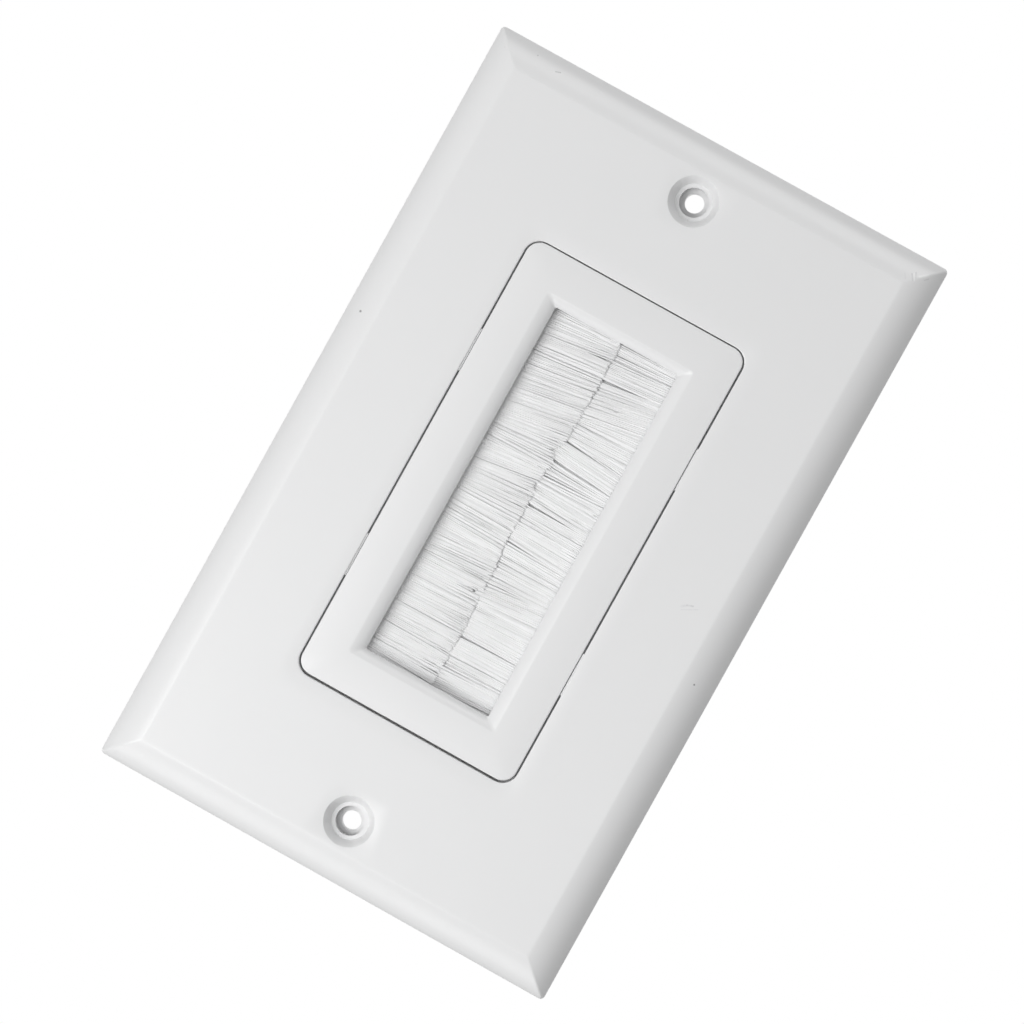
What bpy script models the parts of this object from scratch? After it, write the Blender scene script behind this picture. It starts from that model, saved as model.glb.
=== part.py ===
"""Single-gang brush wall plate: a moulded plate around an insert that holds two strip brushes.

The plate hangs on a wall that fills y > 0. +X is to the right, +Z up the plate's long side,
and the face looks along -Y. The origin is the centre of the plate on the wall's surface.
"""
import math
import random

import bmesh
import bpy
from mathutils import Vector

MM = 0.001

# Fits between separate pieces
CONTACT_GAP = 0.3 * MM
SEAM_GAP = 0.25 * MM
PAD_GAP = 0.08 * MM

# Wall plate moulding
PLATE_WIDTH = 69.85 * MM
PLATE_HEIGHT = 114.3 * MM
PLATE_DEPTH = 6.0 * MM
PLATE_WALL = 2.0 * MM
SKIRT_HEIGHT = 2.0 * MM
BEVEL_WIDTH = 4.6 * MM
BEVEL_TURN = math.radians(54)
CORNER_RADIUS = 0.6 * MM
MITRE_RADIUS = 0.25 * MM
EDGE_RADIUS = 0.2 * MM

# Screws through the plate
SCREW_MARGIN = 8.73 * MM
SINK_RADIUS = 3.5 * MM
SINK_DEPTH = 2.1 * MM
LEDGE_RADIUS = 2.6 * MM
BORE_RADIUS = 2.06 * MM
BOSS_RADIUS = 4.2 * MM

# Ribs behind the plate
RIB_THICKNESS = 1.1 * MM
RIB_CLEARANCE = 0.7 * MM
RING_RIB_OFFSET = 1.2 * MM
SIDE_RIB_PITCH = 21 * MM
END_RIB_INSET = 4.75 * MM

# Pads that locate the insert in the plate's opening
PAD_LENGTH = 6.5 * MM
PAD_LEVEL = 16 * MM
PAD_SETBACK = 0.35 * MM

# Brush insert moulding; bands run from the plate's edge to the insert, borders on to its window
SIDE_BAND = 18.175 * MM
END_BAND = 23.575 * MM
SIDE_BORDER = 7.15 * MM
END_BORDER = 6.825 * MM
INSERT_RADIUS = 2.1 * MM
INSERT_FRONT_WALL = 2.0 * MM
INSERT_SIDE_WALL = 1.4 * MM
WINDOW_RADIUS = 0.3 * MM
LIP_WIDTH = 1.8 * MM
LIP_END_WIDTH = 1.4 * MM
LIP_DEPTH = 1.3 * MM
LIP_TURN = math.radians(48)
LIP_CORNER_RADIUS = 0.5 * MM
FLANGE_REACH = 0.65 * MM
FLANGE_THICKNESS = 1.0 * MM

# Strap ears of the insert
STRAP_INSET = 0.75 * MM
STRAP_END = 4.58 * MM
STRAP_THICKNESS = 1.8 * MM
STRAP_RADIUS = 3.0 * MM
STRAP_HOLE_RADIUS = 1.35 * MM
BOX_SLOT_STEP = 6.77 * MM
BOX_SLOT_LENGTH = 7.5 * MM
BOX_SLOT_WIDTH = 3.9 * MM
SLOT_ROUNDING = 0.98
GUSSET_INSET = 6.5 * MM
GUSSET_THICKNESS = 1.2 * MM
GUSSET_REACH = 4.2 * MM

# Strip brushes
CHANNEL_DEPTH = 4.0 * MM
CHANNEL_WIDTH = 3.5 * MM
CHANNEL_SHEET = 0.4 * MM
CHANNEL_BEND = 0.9 * MM
CHANNEL_CRIMP = 0.1 * MM
WIRE_RADIUS = 0.45 * MM
TUFT_PITCH = 0.78 * MM
TUFT_MIDDLE = 0.94
TUFT_TIP = 0.74
TUFT_LEAN = math.radians(8)
TUFT_BEND_AT = 0.55
TUFT_ROOM_USED = 0.8
TIP_GAP = 0.15 * MM
TIP_SCATTER = 0.8 * MM
MEETING_MIDDLE = 0.25 * MM
MEETING_WAVE = 0.35 * MM
MEETING_PERIOD = 38 * MM

# Retainer and its screws
RETAINER_THICKNESS = 1.8 * MM
RETAINER_RADIUS = 1.2 * MM
RETAINER_WINDOW_MARGIN = 0.6 * MM
RETAINER_BEAD = 0.7 * MM
RETAINER_BEAD_WIDTH = 0.8 * MM
SHANK_RADIUS = 0.95 * MM
SHANK_BITE = 3.2 * MM
HEAD_RADIUS = 1.9 * MM
HEAD_HEIGHT = 1.2 * MM
HEAD_EDGE = 0.3 * MM
RECESS_DEPTH = 0.7 * MM
RECESS_LENGTH = 2.2 * MM
RECESS_WIDTH = 0.5 * MM
FIXING_BOSS_RADIUS = 2.1 * MM
FIXING_SIDE_INSET = 2.7 * MM
FIXING_END_INSET = 1.9 * MM

# Smoothness of the curves
CORNER_STEPS = 5
BEVEL_STEPS = 8
LIP_STEPS = 6
HOLE_SIDES = 28
SCREW_SIDES = 16
WIRE_SIDES = 12
FOLD_STEPS = 8
OVERRUN = 1.0 * MM

# Sizes that follow from the ones above; y grows from the face towards the wall
FACE_Y = -PLATE_DEPTH
INSIDE_Y = FACE_Y + PLATE_WALL
STRAP_FRONT_Y = -STRAP_THICKNESS
RIB_BACK_Y = STRAP_FRONT_Y - RIB_CLEARANCE
SCREW_Z = PLATE_HEIGHT / 2 - SCREW_MARGIN
BOX_SLOT_Z = SCREW_Z - BOX_SLOT_STEP
INSERT_WIDTH = PLATE_WIDTH - 2 * SIDE_BAND
INSERT_HEIGHT = PLATE_HEIGHT - 2 * END_BAND
WINDOW_WIDTH = INSERT_WIDTH - 2 * SIDE_BORDER
WINDOW_HEIGHT = INSERT_HEIGHT - 2 * END_BORDER
STRAP_WIDTH = INSERT_WIDTH - 2 * STRAP_INSET
GUSSET_X = STRAP_WIDTH / 2 - GUSSET_INSET
FRONT_WALL_BACK_Y = FACE_Y + INSERT_FRONT_WALL
FLANGE_FRONT_Y = INSIDE_Y + CONTACT_GAP
FLANGE_BACK_Y = FLANGE_FRONT_Y + FLANGE_THICKNESS
CAVITY_WIDTH = INSERT_WIDTH - 2 * INSERT_SIDE_WALL
CAVITY_HEIGHT = INSERT_HEIGHT - 2 * INSERT_SIDE_WALL
CAVITY_RADIUS = max(INSERT_RADIUS - INSERT_SIDE_WALL, WINDOW_RADIUS)
CHANNEL_FRONT_Y = FRONT_WALL_BACK_Y + CONTACT_GAP
CHANNEL_BACK_Y = CHANNEL_FRONT_Y + CHANNEL_DEPTH
CHANNEL_MIDDLE_Y = (CHANNEL_FRONT_Y + CHANNEL_BACK_Y) / 2
BUNDLE_HALF = CHANNEL_DEPTH / 2 - CHANNEL_SHEET - CHANNEL_CRIMP - CONTACT_GAP
COLLAR_BACK_Y = CHANNEL_MIDDLE_Y - BUNDLE_HALF - CONTACT_GAP
RETAINER_FRONT_Y = CHANNEL_BACK_Y + CONTACT_GAP
RETAINER_BACK_Y = RETAINER_FRONT_Y + RETAINER_THICKNESS
INSERT_BACK_Y = RETAINER_BACK_Y + CONTACT_GAP
FIXING_X = CAVITY_WIDTH / 2 - FIXING_SIDE_INSET
FIXING_Z = CAVITY_HEIGHT / 2 - FIXING_END_INSET
STRIP_LENGTH = 2 * (FIXING_Z - FIXING_BOSS_RADIUS - CONTACT_GAP)
CHANNEL_WEB_X = CAVITY_WIDTH / 2 - CONTACT_GAP
CHANNEL_MOUTH_X = CHANNEL_WEB_X - CHANNEL_WIDTH
COLLAR_WALL = CHANNEL_MOUTH_X - CONTACT_GAP - WINDOW_WIDTH / 2
FOLD_X = CHANNEL_WEB_X - CHANNEL_SHEET - CONTACT_GAP - BUNDLE_HALF
TUFT_ROOT_X = CHANNEL_MOUTH_X - CONTACT_GAP / 2


def clear_scene():
    """Remove whatever the file holds before the model is built."""
    for thing in list(bpy.data.objects):
        bpy.data.objects.remove(thing, do_unlink=True)


def make_material(name, colour, roughness, metallic=0.0):
    """Principled material with one colour and one gloss."""
    material = bpy.data.materials.new(name)
    material.use_nodes = True
    shader = material.node_tree.nodes["Principled BSDF"]
    shader.inputs["Base Color"].default_value = (*colour, 1.0)
    shader.inputs["Roughness"].default_value = roughness
    shader.inputs["Metallic"].default_value = metallic
    return material


def mesh_from(bm, name):
    """Turn a bmesh into a mesh whose curved faces are smooth and whose edges stay sharp."""
    bmesh.ops.recalc_face_normals(bm, faces=bm.faces)
    mesh = bpy.data.meshes.new(name)
    bm.to_mesh(mesh)
    bm.free()
    mesh.shade_smooth()
    mesh.set_sharp_from_angle(angle=math.radians(32))
    return mesh


def make_piece(name, bm, material):
    """Add one finished piece of the object to the scene."""
    piece = bpy.data.objects.new(name, mesh_from(bm, name))
    piece.data.materials.append(material)
    bpy.context.scene.collection.objects.link(piece)
    return piece


def make_tool(name, bm):
    """Add a shape that only cuts or thickens a piece."""
    tool = bpy.data.objects.new(name, mesh_from(bm, name))
    tool.hide_render = True
    tool.display_type = "WIRE"
    bpy.context.scene.collection.objects.link(tool)
    return tool


def combine(piece, tool, operation):
    """Unite a piece with a tool, or cut the tool out of it."""
    step = piece.modifiers.new(tool.name, "BOOLEAN")
    step.object = tool
    step.operation = operation
    step.solver = "EXACT"


def rounded_rectangle(width, height, radius, y, centre=(0.0, 0.0)):
    """Outline in the wall's plane at depth y, made of four corner arcs."""
    points = []
    for corner in range(4):
        across = 1 if corner in (0, 3) else -1
        up = 1 if corner in (0, 1) else -1
        for step in range(CORNER_STEPS + 1):
            angle = math.radians(90) * (corner + step / CORNER_STEPS)
            x = centre[0] + across * (width / 2 - radius) + radius * math.cos(angle)
            z = centre[1] + up * (height / 2 - radius) + radius * math.sin(angle)
            points.append(Vector((x, y, z)))
    return points


def circle(radius, y, sides, centre=(0.0, 0.0)):
    """Round outline in the wall's plane at depth y."""
    points = []
    for side in range(sides):
        angle = 2 * math.pi * side / sides
        x = centre[0] + radius * math.cos(angle)
        z = centre[1] + radius * math.sin(angle)
        points.append(Vector((x, y, z)))
    return points


def loft(bm, outlines, ring=False):
    """Skin a row of outlines; a ring joins the last to the first, otherwise both ends are capped."""
    rows = [[bm.verts.new(point) for point in outline] for outline in outlines]
    pairs = list(zip(rows, rows[1:]))
    if ring:
        pairs.append((rows[-1], rows[0]))
    for near, far in pairs:
        for i, vertex in enumerate(near):
            j = (i + 1) % len(near)
            bm.faces.new((vertex, near[j], far[j], far[i]))
    if not ring:
        bm.faces.new(rows[0])
        bm.faces.new(rows[-1])


def turn(bm, profile, sides, centre=(0.0, 0.0)):
    """Turned solid from (radius, y) pairs about an axis that runs into the wall."""
    loft(bm, [circle(radius, y, sides, centre) for radius, y in profile])


def block(bm, x_range, y_range, z_range):
    """Rectangular rib or pad between two corners."""
    corners = []
    for y in y_range:
        corners.append([
            Vector((x_range[0], y, z_range[0])),
            Vector((x_range[1], y, z_range[0])),
            Vector((x_range[1], y, z_range[1])),
            Vector((x_range[0], y, z_range[1])),
        ])
    loft(bm, corners)


def extrude_along_z(bm, section, z_low, z_high):
    """Prism with a section of (x, y) points that runs up the plate."""
    ends = []
    for z in (z_low, z_high):
        ends.append([Vector((x, y, z)) for x, y in section])
    loft(bm, ends)


def bevel_arc():
    """Centre, radius and first and last slope of the arc that rounds the plate's edge."""
    rise = PLATE_DEPTH - SKIRT_HEIGHT
    chord = math.hypot(BEVEL_WIDTH, rise)
    radius = chord / 2 / math.sin(BEVEL_TURN / 2)
    slope = math.atan2(rise, BEVEL_WIDTH)
    first = slope + BEVEL_TURN / 2
    last = slope - BEVEL_TURN / 2
    centre = (radius * math.sin(first), SKIRT_HEIGHT - radius * math.cos(first))
    return centre, radius, first, last


def arc_insets(centre, radius, first, last):
    """Points (inset from the plate's edge, height off the wall) from the skirt to the face."""
    points = []
    for step in range(BEVEL_STEPS + 1):
        angle = first + (last - first) * step / BEVEL_STEPS
        points.append((centre[0] - radius * math.sin(angle), centre[1] + radius * math.cos(angle)))
    return points


def plate_outline(inset, height):
    """Plate's outline at an inset, with corners that sharpen to a mitre."""
    radius = max(CORNER_RADIUS - inset, MITRE_RADIUS)
    return rounded_rectangle(PLATE_WIDTH - 2 * inset, PLATE_HEIGHT - 2 * inset, radius, -height)


def opening_outline(offset, y):
    """Outline of the plate's opening, a seam wider than the insert."""
    grow = SEAM_GAP + offset
    return rounded_rectangle(INSERT_WIDTH + 2 * grow, INSERT_HEIGHT + 2 * grow, INSERT_RADIUS + grow, y)


def plate_shell():
    """Hollow moulding: skirt, rounded edge, face, opening, its ring rib and the parallel inside."""
    centre, radius, first, last = bevel_arc()
    outlines = [plate_outline(0.0, 0.0)]
    outlines += [plate_outline(*point) for point in arc_insets(centre, radius, first, last)]
    outlines.append(plate_outline(BEVEL_WIDTH + EDGE_RADIUS, PLATE_DEPTH))
    outlines.append(opening_outline(EDGE_RADIUS, FACE_Y))
    outlines.append(opening_outline(EDGE_RADIUS * 0.3, FACE_Y + EDGE_RADIUS * 0.3))
    outlines.append(opening_outline(0.0, FACE_Y + EDGE_RADIUS))
    outlines.append(opening_outline(0.0, INSIDE_Y))
    for offset, depths in (
        (RING_RIB_OFFSET, (INSIDE_Y, RIB_BACK_Y)),
        (RING_RIB_OFFSET + RIB_THICKNESS, (RIB_BACK_Y, INSIDE_Y)),
    ):
        outlines += [opening_outline(offset, depth) for depth in depths]
    inner = radius - PLATE_WALL
    reach = (PLATE_DEPTH - PLATE_WALL - centre[1]) / inner
    inside = arc_insets(centre, inner, first, math.acos(min(reach, 1.0)))
    outlines += [plate_outline(*point) for point in reversed(inside)]
    outlines.append(plate_outline(inside[0][0], 0.0))
    bm = bmesh.new()
    loft(bm, outlines, ring=True)
    return bm


def plate_cross_ribs():
    """Ribs from the ring to the skirt, sideways and lengthways."""
    y_range = (INSIDE_Y - OVERRUN / 2, RIB_BACK_Y)
    half = RIB_THICKNESS / 2
    beyond = SEAM_GAP + RING_RIB_OFFSET + half
    side_steps = int(INSERT_HEIGHT / 2 / SIDE_RIB_PITCH)
    end_rib_x = INSERT_WIDTH / 2 - END_RIB_INSET
    bm = bmesh.new()
    for side in (-1, 1):
        x_range = sorted((side * (INSERT_WIDTH / 2 + beyond), side * (PLATE_WIDTH / 2 - PLATE_WALL)))
        for step in range(-side_steps, side_steps + 1):
            level = step * SIDE_RIB_PITCH
            block(bm, x_range, y_range, (level - half, level + half))
        z_range = sorted((side * (INSERT_HEIGHT / 2 + beyond), side * (PLATE_HEIGHT / 2 - PLATE_WALL)))
        for offset in (-end_rib_x, end_rib_x):
            block(bm, (offset - half, offset + half), y_range, z_range)
    return bm


def plate_bosses():
    """Round bosses behind the two screw holes, which end just in front of the strap."""
    profile = (
        (BOSS_RADIUS, INSIDE_Y - OVERRUN / 2),
        (BOSS_RADIUS, STRAP_FRONT_Y - CONTACT_GAP),
    )
    bm = bmesh.new()
    for side in (-1, 1):
        turn(bm, profile, HOLE_SIDES, (0.0, side * SCREW_Z))
    return bm


def plate_pads():
    """Four low pads on the opening's long sides that keep the insert central."""
    wall_x = INSERT_WIDTH / 2 + SEAM_GAP
    y_range = (FACE_Y + PAD_SETBACK, INSIDE_Y - PAD_SETBACK)
    bm = bmesh.new()
    for side in (-1, 1):
        x_range = sorted((side * (INSERT_WIDTH / 2 + PAD_GAP), side * (wall_x + PLATE_WALL / 4)))
        for level in (-PAD_LEVEL, PAD_LEVEL):
            block(bm, x_range, y_range, (level - PAD_LENGTH / 2, level + PAD_LENGTH / 2))
    return bm


def plate_screw_cutters():
    """Countersink, ledge and bore of the two screw holes."""
    widening = (SINK_RADIUS - LEDGE_RADIUS) / SINK_DEPTH
    profile = (
        (SINK_RADIUS + widening * OVERRUN, FACE_Y - OVERRUN),
        (LEDGE_RADIUS, FACE_Y + SINK_DEPTH),
        (BORE_RADIUS, FACE_Y + SINK_DEPTH),
        (BORE_RADIUS, OVERRUN),
    )
    bm = bmesh.new()
    for side in (-1, 1):
        turn(bm, profile, HOLE_SIDES, (0.0, side * SCREW_Z))
    return bm


def build_wall_plate(material):
    """Face moulding with its ribs, bosses, pads and screw holes."""
    plate = make_piece("wall_plate", plate_shell(), material)
    combine(plate, make_tool("plate_cross_rib_tool", plate_cross_ribs()), "UNION")
    combine(plate, make_tool("plate_boss_tool", plate_bosses()), "UNION")
    combine(plate, make_tool("plate_pad_tool", plate_pads()), "UNION")
    combine(plate, make_tool("plate_hole_tool", plate_screw_cutters()), "DIFFERENCE")


def insert_outline(inset, y):
    """Outline of the insert's outside, smaller where its edge is rounded, larger at its flange."""
    return rounded_rectangle(INSERT_WIDTH - 2 * inset, INSERT_HEIGHT - 2 * inset, INSERT_RADIUS, y)


def window_outline(offset, radius, y):
    """Outline of the brush window, widened by an offset."""
    return rounded_rectangle(WINDOW_WIDTH + 2 * offset, WINDOW_HEIGHT + 2 * offset, radius, y)


def lip_points():
    """Points (share of the lip's width, depth) of a flat arc that steepens towards the window."""
    first = math.atan2(LIP_DEPTH, LIP_WIDTH) - LIP_TURN / 2
    radius = math.hypot(LIP_WIDTH, LIP_DEPTH) / 2 / math.sin(LIP_TURN / 2)
    points = []
    for step in range(LIP_STEPS + 1):
        angle = first + LIP_TURN * step / LIP_STEPS
        along = radius * (math.sin(angle) - math.sin(first))
        depth = radius * (math.cos(first) - math.cos(angle))
        points.append((1 - along / LIP_WIDTH, depth))
    return points


def insert_shell():
    """Box of the insert: flange behind the plate, flush face, lip of the window, collar and cavity."""
    outlines = [
        insert_outline(0.0, INSERT_BACK_Y),
        insert_outline(0.0, FLANGE_BACK_Y),
        insert_outline(-FLANGE_REACH, FLANGE_BACK_Y),
        insert_outline(-FLANGE_REACH, FLANGE_FRONT_Y),
        insert_outline(0.0, FLANGE_FRONT_Y),
        insert_outline(0.0, FACE_Y + EDGE_RADIUS),
        insert_outline(EDGE_RADIUS * 0.3, FACE_Y + EDGE_RADIUS * 0.3),
        insert_outline(EDGE_RADIUS, FACE_Y),
    ]
    for share, depth in lip_points():
        width = WINDOW_WIDTH + 2 * LIP_WIDTH * share
        height = WINDOW_HEIGHT + 2 * LIP_END_WIDTH * share
        radius = WINDOW_RADIUS + (LIP_CORNER_RADIUS - WINDOW_RADIUS) * share
        outlines.append(rounded_rectangle(width, height, radius, FACE_Y + depth))
    outlines.append(window_outline(0.0, WINDOW_RADIUS, COLLAR_BACK_Y))
    outlines.append(window_outline(COLLAR_WALL, WINDOW_RADIUS, COLLAR_BACK_Y))
    outlines.append(window_outline(COLLAR_WALL, WINDOW_RADIUS, FRONT_WALL_BACK_Y))
    for y in (FRONT_WALL_BACK_Y, INSERT_BACK_Y):
        outlines.append(rounded_rectangle(CAVITY_WIDTH, CAVITY_HEIGHT, CAVITY_RADIUS, y))
    bm = bmesh.new()
    loft(bm, outlines, ring=True)
    return bm


def strap_ears():
    """Flat ears above and below, rooted in the insert's end walls."""
    root_z = INSERT_HEIGHT / 2 - INSERT_SIDE_WALL / 2
    length = SCREW_Z + STRAP_END - root_z
    bm = bmesh.new()
    for side in (-1, 1):
        centre = (0.0, side * (root_z + length / 2))
        loft(bm, [
            rounded_rectangle(STRAP_WIDTH, length, STRAP_RADIUS, STRAP_FRONT_Y, centre),
            rounded_rectangle(STRAP_WIDTH, length, STRAP_RADIUS, 0.0, centre),
        ])
    return bm


def ear_roots():
    """Straight bars that fill the ears' rounded inner corners against the insert."""
    root_z = INSERT_HEIGHT / 2 - INSERT_SIDE_WALL / 2
    half = INSERT_WIDTH / 2 - INSERT_RADIUS
    bm = bmesh.new()
    for side in (-1, 1):
        z_range = sorted((side * root_z, side * (root_z + STRAP_RADIUS)))
        block(bm, (-half, half), (STRAP_FRONT_Y, 0.0), z_range)
    return bm


def ear_gussets():
    """Small webs behind the ears that stiffen them against the insert's end walls."""
    wall_z = INSERT_HEIGHT / 2
    depth = INSERT_BACK_Y - CONTACT_GAP
    bm = bmesh.new()
    for side in (-1, 1):
        for offset in (-GUSSET_X, GUSSET_X):
            faces = []
            for x in (offset - GUSSET_THICKNESS / 2, offset + GUSSET_THICKNESS / 2):
                faces.append([
                    Vector((x, -STRAP_THICKNESS / 2, side * (wall_z - INSERT_SIDE_WALL / 2))),
                    Vector((x, depth, side * (wall_z - INSERT_SIDE_WALL / 2))),
                    Vector((x, depth, side * wall_z)),
                    Vector((x, 0.0, side * (wall_z + GUSSET_REACH))),
                    Vector((x, -STRAP_THICKNESS / 2, side * (wall_z + GUSSET_REACH))),
                ])
            loft(bm, faces)
    return bm


def fixing_places():
    """Plan positions of the four screws that hold the retainer."""
    return [(across * FIXING_X, up * FIXING_Z) for across in (-1, 1) for up in (-1, 1)]


def fixing_bosses():
    """Posts in the corners of the cavity that take the retainer's screws."""
    profile = (
        (FIXING_BOSS_RADIUS, FRONT_WALL_BACK_Y - OVERRUN / 2),
        (FIXING_BOSS_RADIUS, RETAINER_FRONT_Y - CONTACT_GAP),
    )
    bm = bmesh.new()
    for place in fixing_places():
        turn(bm, profile, SCREW_SIDES, place)
    return bm


def insert_hole_cutters():
    """Blind screw holes in the posts and through holes for the plate's screws."""
    pilot = (
        (SHANK_RADIUS + CONTACT_GAP, RETAINER_FRONT_Y - SHANK_BITE - CONTACT_GAP),
        (SHANK_RADIUS + CONTACT_GAP, RETAINER_FRONT_Y),
    )
    through = (
        (STRAP_HOLE_RADIUS, STRAP_FRONT_Y - OVERRUN),
        (STRAP_HOLE_RADIUS, OVERRUN),
    )
    bm = bmesh.new()
    for place in fixing_places():
        turn(bm, pilot, SCREW_SIDES, place)
    for side in (-1, 1):
        turn(bm, through, HOLE_SIDES, (0.0, side * SCREW_Z))
        centre = (0.0, side * BOX_SLOT_Z)
        loft(bm, [
            rounded_rectangle(BOX_SLOT_LENGTH, BOX_SLOT_WIDTH, BOX_SLOT_WIDTH * SLOT_ROUNDING / 2, y, centre)
            for y in (STRAP_FRONT_Y - OVERRUN, OVERRUN)
        ])
    return bm


def build_insert_frame(material):
    """Brush insert moulding with its strap ears, posts and holes."""
    insert = make_piece("insert_frame", insert_shell(), material)
    combine(insert, make_tool("ear_tool", strap_ears()), "UNION")
    combine(insert, make_tool("ear_root_tool", ear_roots()), "UNION")
    combine(insert, make_tool("gusset_tool", ear_gussets()), "UNION")
    combine(insert, make_tool("fixing_boss_tool", fixing_bosses()), "UNION")
    combine(insert, make_tool("insert_hole_tool", insert_hole_cutters()), "DIFFERENCE")


def channel_section(side):
    """Folded sheet as (x, y) points: out along one leg, round the web, back, and inside again."""
    points = []
    for shrink, order in ((0.0, (-1, 1)), (CHANNEL_SHEET, (1, -1))):
        half = CHANNEL_DEPTH / 2 - shrink
        bend = CHANNEL_BEND - shrink
        web = CHANNEL_WEB_X - shrink
        for leg in order:
            arc = []
            for step in range(FOLD_STEPS // 2 + 1):
                angle = math.radians(90) * step / (FOLD_STEPS // 2)
                x = web - bend + bend * math.sin(angle)
                y = CHANNEL_MIDDLE_Y + leg * (half - bend + bend * math.cos(angle))
                arc.append((side * x, y))
            mouth = (side * CHANNEL_MOUTH_X, CHANNEL_MIDDLE_Y + leg * (half - CHANNEL_CRIMP))
            run = [mouth] + arc
            points += run if leg == order[0] else list(reversed(run))
    return points


def build_channel(name, side, material):
    """Folded channel that grips one row of bristles."""
    bm = bmesh.new()
    extrude_along_z(bm, channel_section(side), -STRIP_LENGTH / 2, STRIP_LENGTH / 2)
    make_piece(name, bm, material)


def wire_section(side, radius):
    """Round section at the fold of the bristles."""
    points = []
    for step in range(WIRE_SIDES):
        angle = 2 * math.pi * step / WIRE_SIDES
        points.append((side * FOLD_X + radius * math.cos(angle), CHANNEL_MIDDLE_Y + radius * math.sin(angle)))
    return points


def build_core_wire(name, side, material):
    """Wire that the bristles are folded over."""
    bm = bmesh.new()
    extrude_along_z(bm, wire_section(side, WIRE_RADIUS), -STRIP_LENGTH / 2, STRIP_LENGTH / 2)
    make_piece(name, bm, material)


def meeting_x(z):
    """Wavy line near the middle of the window where the two rows of tips meet."""
    return MEETING_MIDDLE - MEETING_WAVE * math.cos(2 * math.pi * z / MEETING_PERIOD)


def fold_section(side):
    """Bristle bundle in its channel: two flat root faces, then the fold around the wire."""
    points = [(side * TUFT_ROOT_X, CHANNEL_MIDDLE_Y + part * BUNDLE_HALF) for part in (-1, 0, 1)]
    for step in range(FOLD_STEPS + 1):
        angle = math.radians(180) * step / FOLD_STEPS
        x = FOLD_X + BUNDLE_HALF * math.sin(angle)
        points.append((side * x, CHANNEL_MIDDLE_Y + BUNDLE_HALF * math.cos(angle)))
    return points


def split_root_faces(bm, side, count):
    """Cut the root faces across into one face for each tuft and layer."""
    root_x = side * TUFT_ROOT_X
    tiny = MM / 1000
    long_edges = []
    for edge in bm.edges:
        on_root = all(abs(vertex.co.x - root_x) < tiny for vertex in edge.verts)
        if on_root and edge.calc_length() > STRIP_LENGTH / 2:
            long_edges.append(edge)
    bmesh.ops.subdivide_edges(bm, edges=long_edges, cuts=count - 1, use_grid_fill=True)
    roots = []
    for face in bm.faces:
        if all(abs(vertex.co.x - root_x) < tiny for vertex in face.verts):
            roots.append(face)
    return sorted(roots, key=lambda face: (face.calc_center_median().y, face.calc_center_median().z))


def lean_walk(count, pitch, chance):
    """Sideways shift of each tip; neighbours differ by less than the gap that the taper opens."""
    reach = TUFT_ROOT_X * math.tan(TUFT_LEAN)
    room = min(1 - TUFT_TIP, (1 - TUFT_MIDDLE) / TUFT_BEND_AT ** 2)
    step = TUFT_ROOM_USED * room * pitch
    shift = 0.0
    shifts = []
    for _ in range(count):
        shift = max(-reach, min(reach, shift + chance.uniform(-step, step)))
        shifts.append(shift)
    return shifts


def move_section(face, middle, scale):
    """Shrink a tuft's end face about its middle and set it at its new place."""
    old = face.calc_center_median()
    for vertex in face.verts:
        vertex.co = Vector((
            middle.x,
            middle.y + (vertex.co.y - old.y) * scale,
            middle.z + (vertex.co.z - old.z) * scale,
        ))


def grow_tuft(bm, face, side, shift, shortfall):
    """Extrude one root face twice: to a bend and on to a tip near the meeting line."""
    root = face.calc_center_median()
    tip_z = root.z + shift
    tip_x = meeting_x(tip_z) + side * (TIP_GAP + shortfall)
    tip = Vector((tip_x, root.y, tip_z))
    bend_z = root.z + shift * TUFT_BEND_AT ** 2
    bend = Vector((root.x + (tip.x - root.x) * TUFT_BEND_AT, root.y, bend_z))
    lower = bmesh.ops.extrude_discrete_faces(bm, faces=[face])["faces"][0]
    move_section(lower, bend, TUFT_MIDDLE)
    upper = bmesh.ops.extrude_discrete_faces(bm, faces=[lower])["faces"][0]
    move_section(upper, tip, TUFT_TIP / TUFT_MIDDLE)


def build_bristles(name, side, seed, material):
    """One row of bristles: tufts in two layers on a bundle folded over the core wire."""
    chance = random.Random(seed)
    count = max(2, round(STRIP_LENGTH / TUFT_PITCH))
    pitch = STRIP_LENGTH / count
    bm = bmesh.new()
    extrude_along_z(bm, fold_section(side), -STRIP_LENGTH / 2, STRIP_LENGTH / 2)
    roots = split_root_faces(bm, side, count)
    for layer in range(2):
        stagger = layer * pitch / 2
        shifts = lean_walk(count, pitch, chance)
        for face, shift in zip(roots[layer * count:(layer + 1) * count], shifts):
            grow_tuft(bm, face, side, shift + stagger, TIP_SCATTER * chance.random() ** 3)
    bristles = make_piece(name, bm, material)
    hole = bmesh.new()
    section = wire_section(side, WIRE_RADIUS + CONTACT_GAP)
    extrude_along_z(hole, section, -STRIP_LENGTH / 2 - OVERRUN, STRIP_LENGTH / 2 + OVERRUN)
    combine(bristles, make_tool(name + "_wire_tool", hole), "DIFFERENCE")


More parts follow.
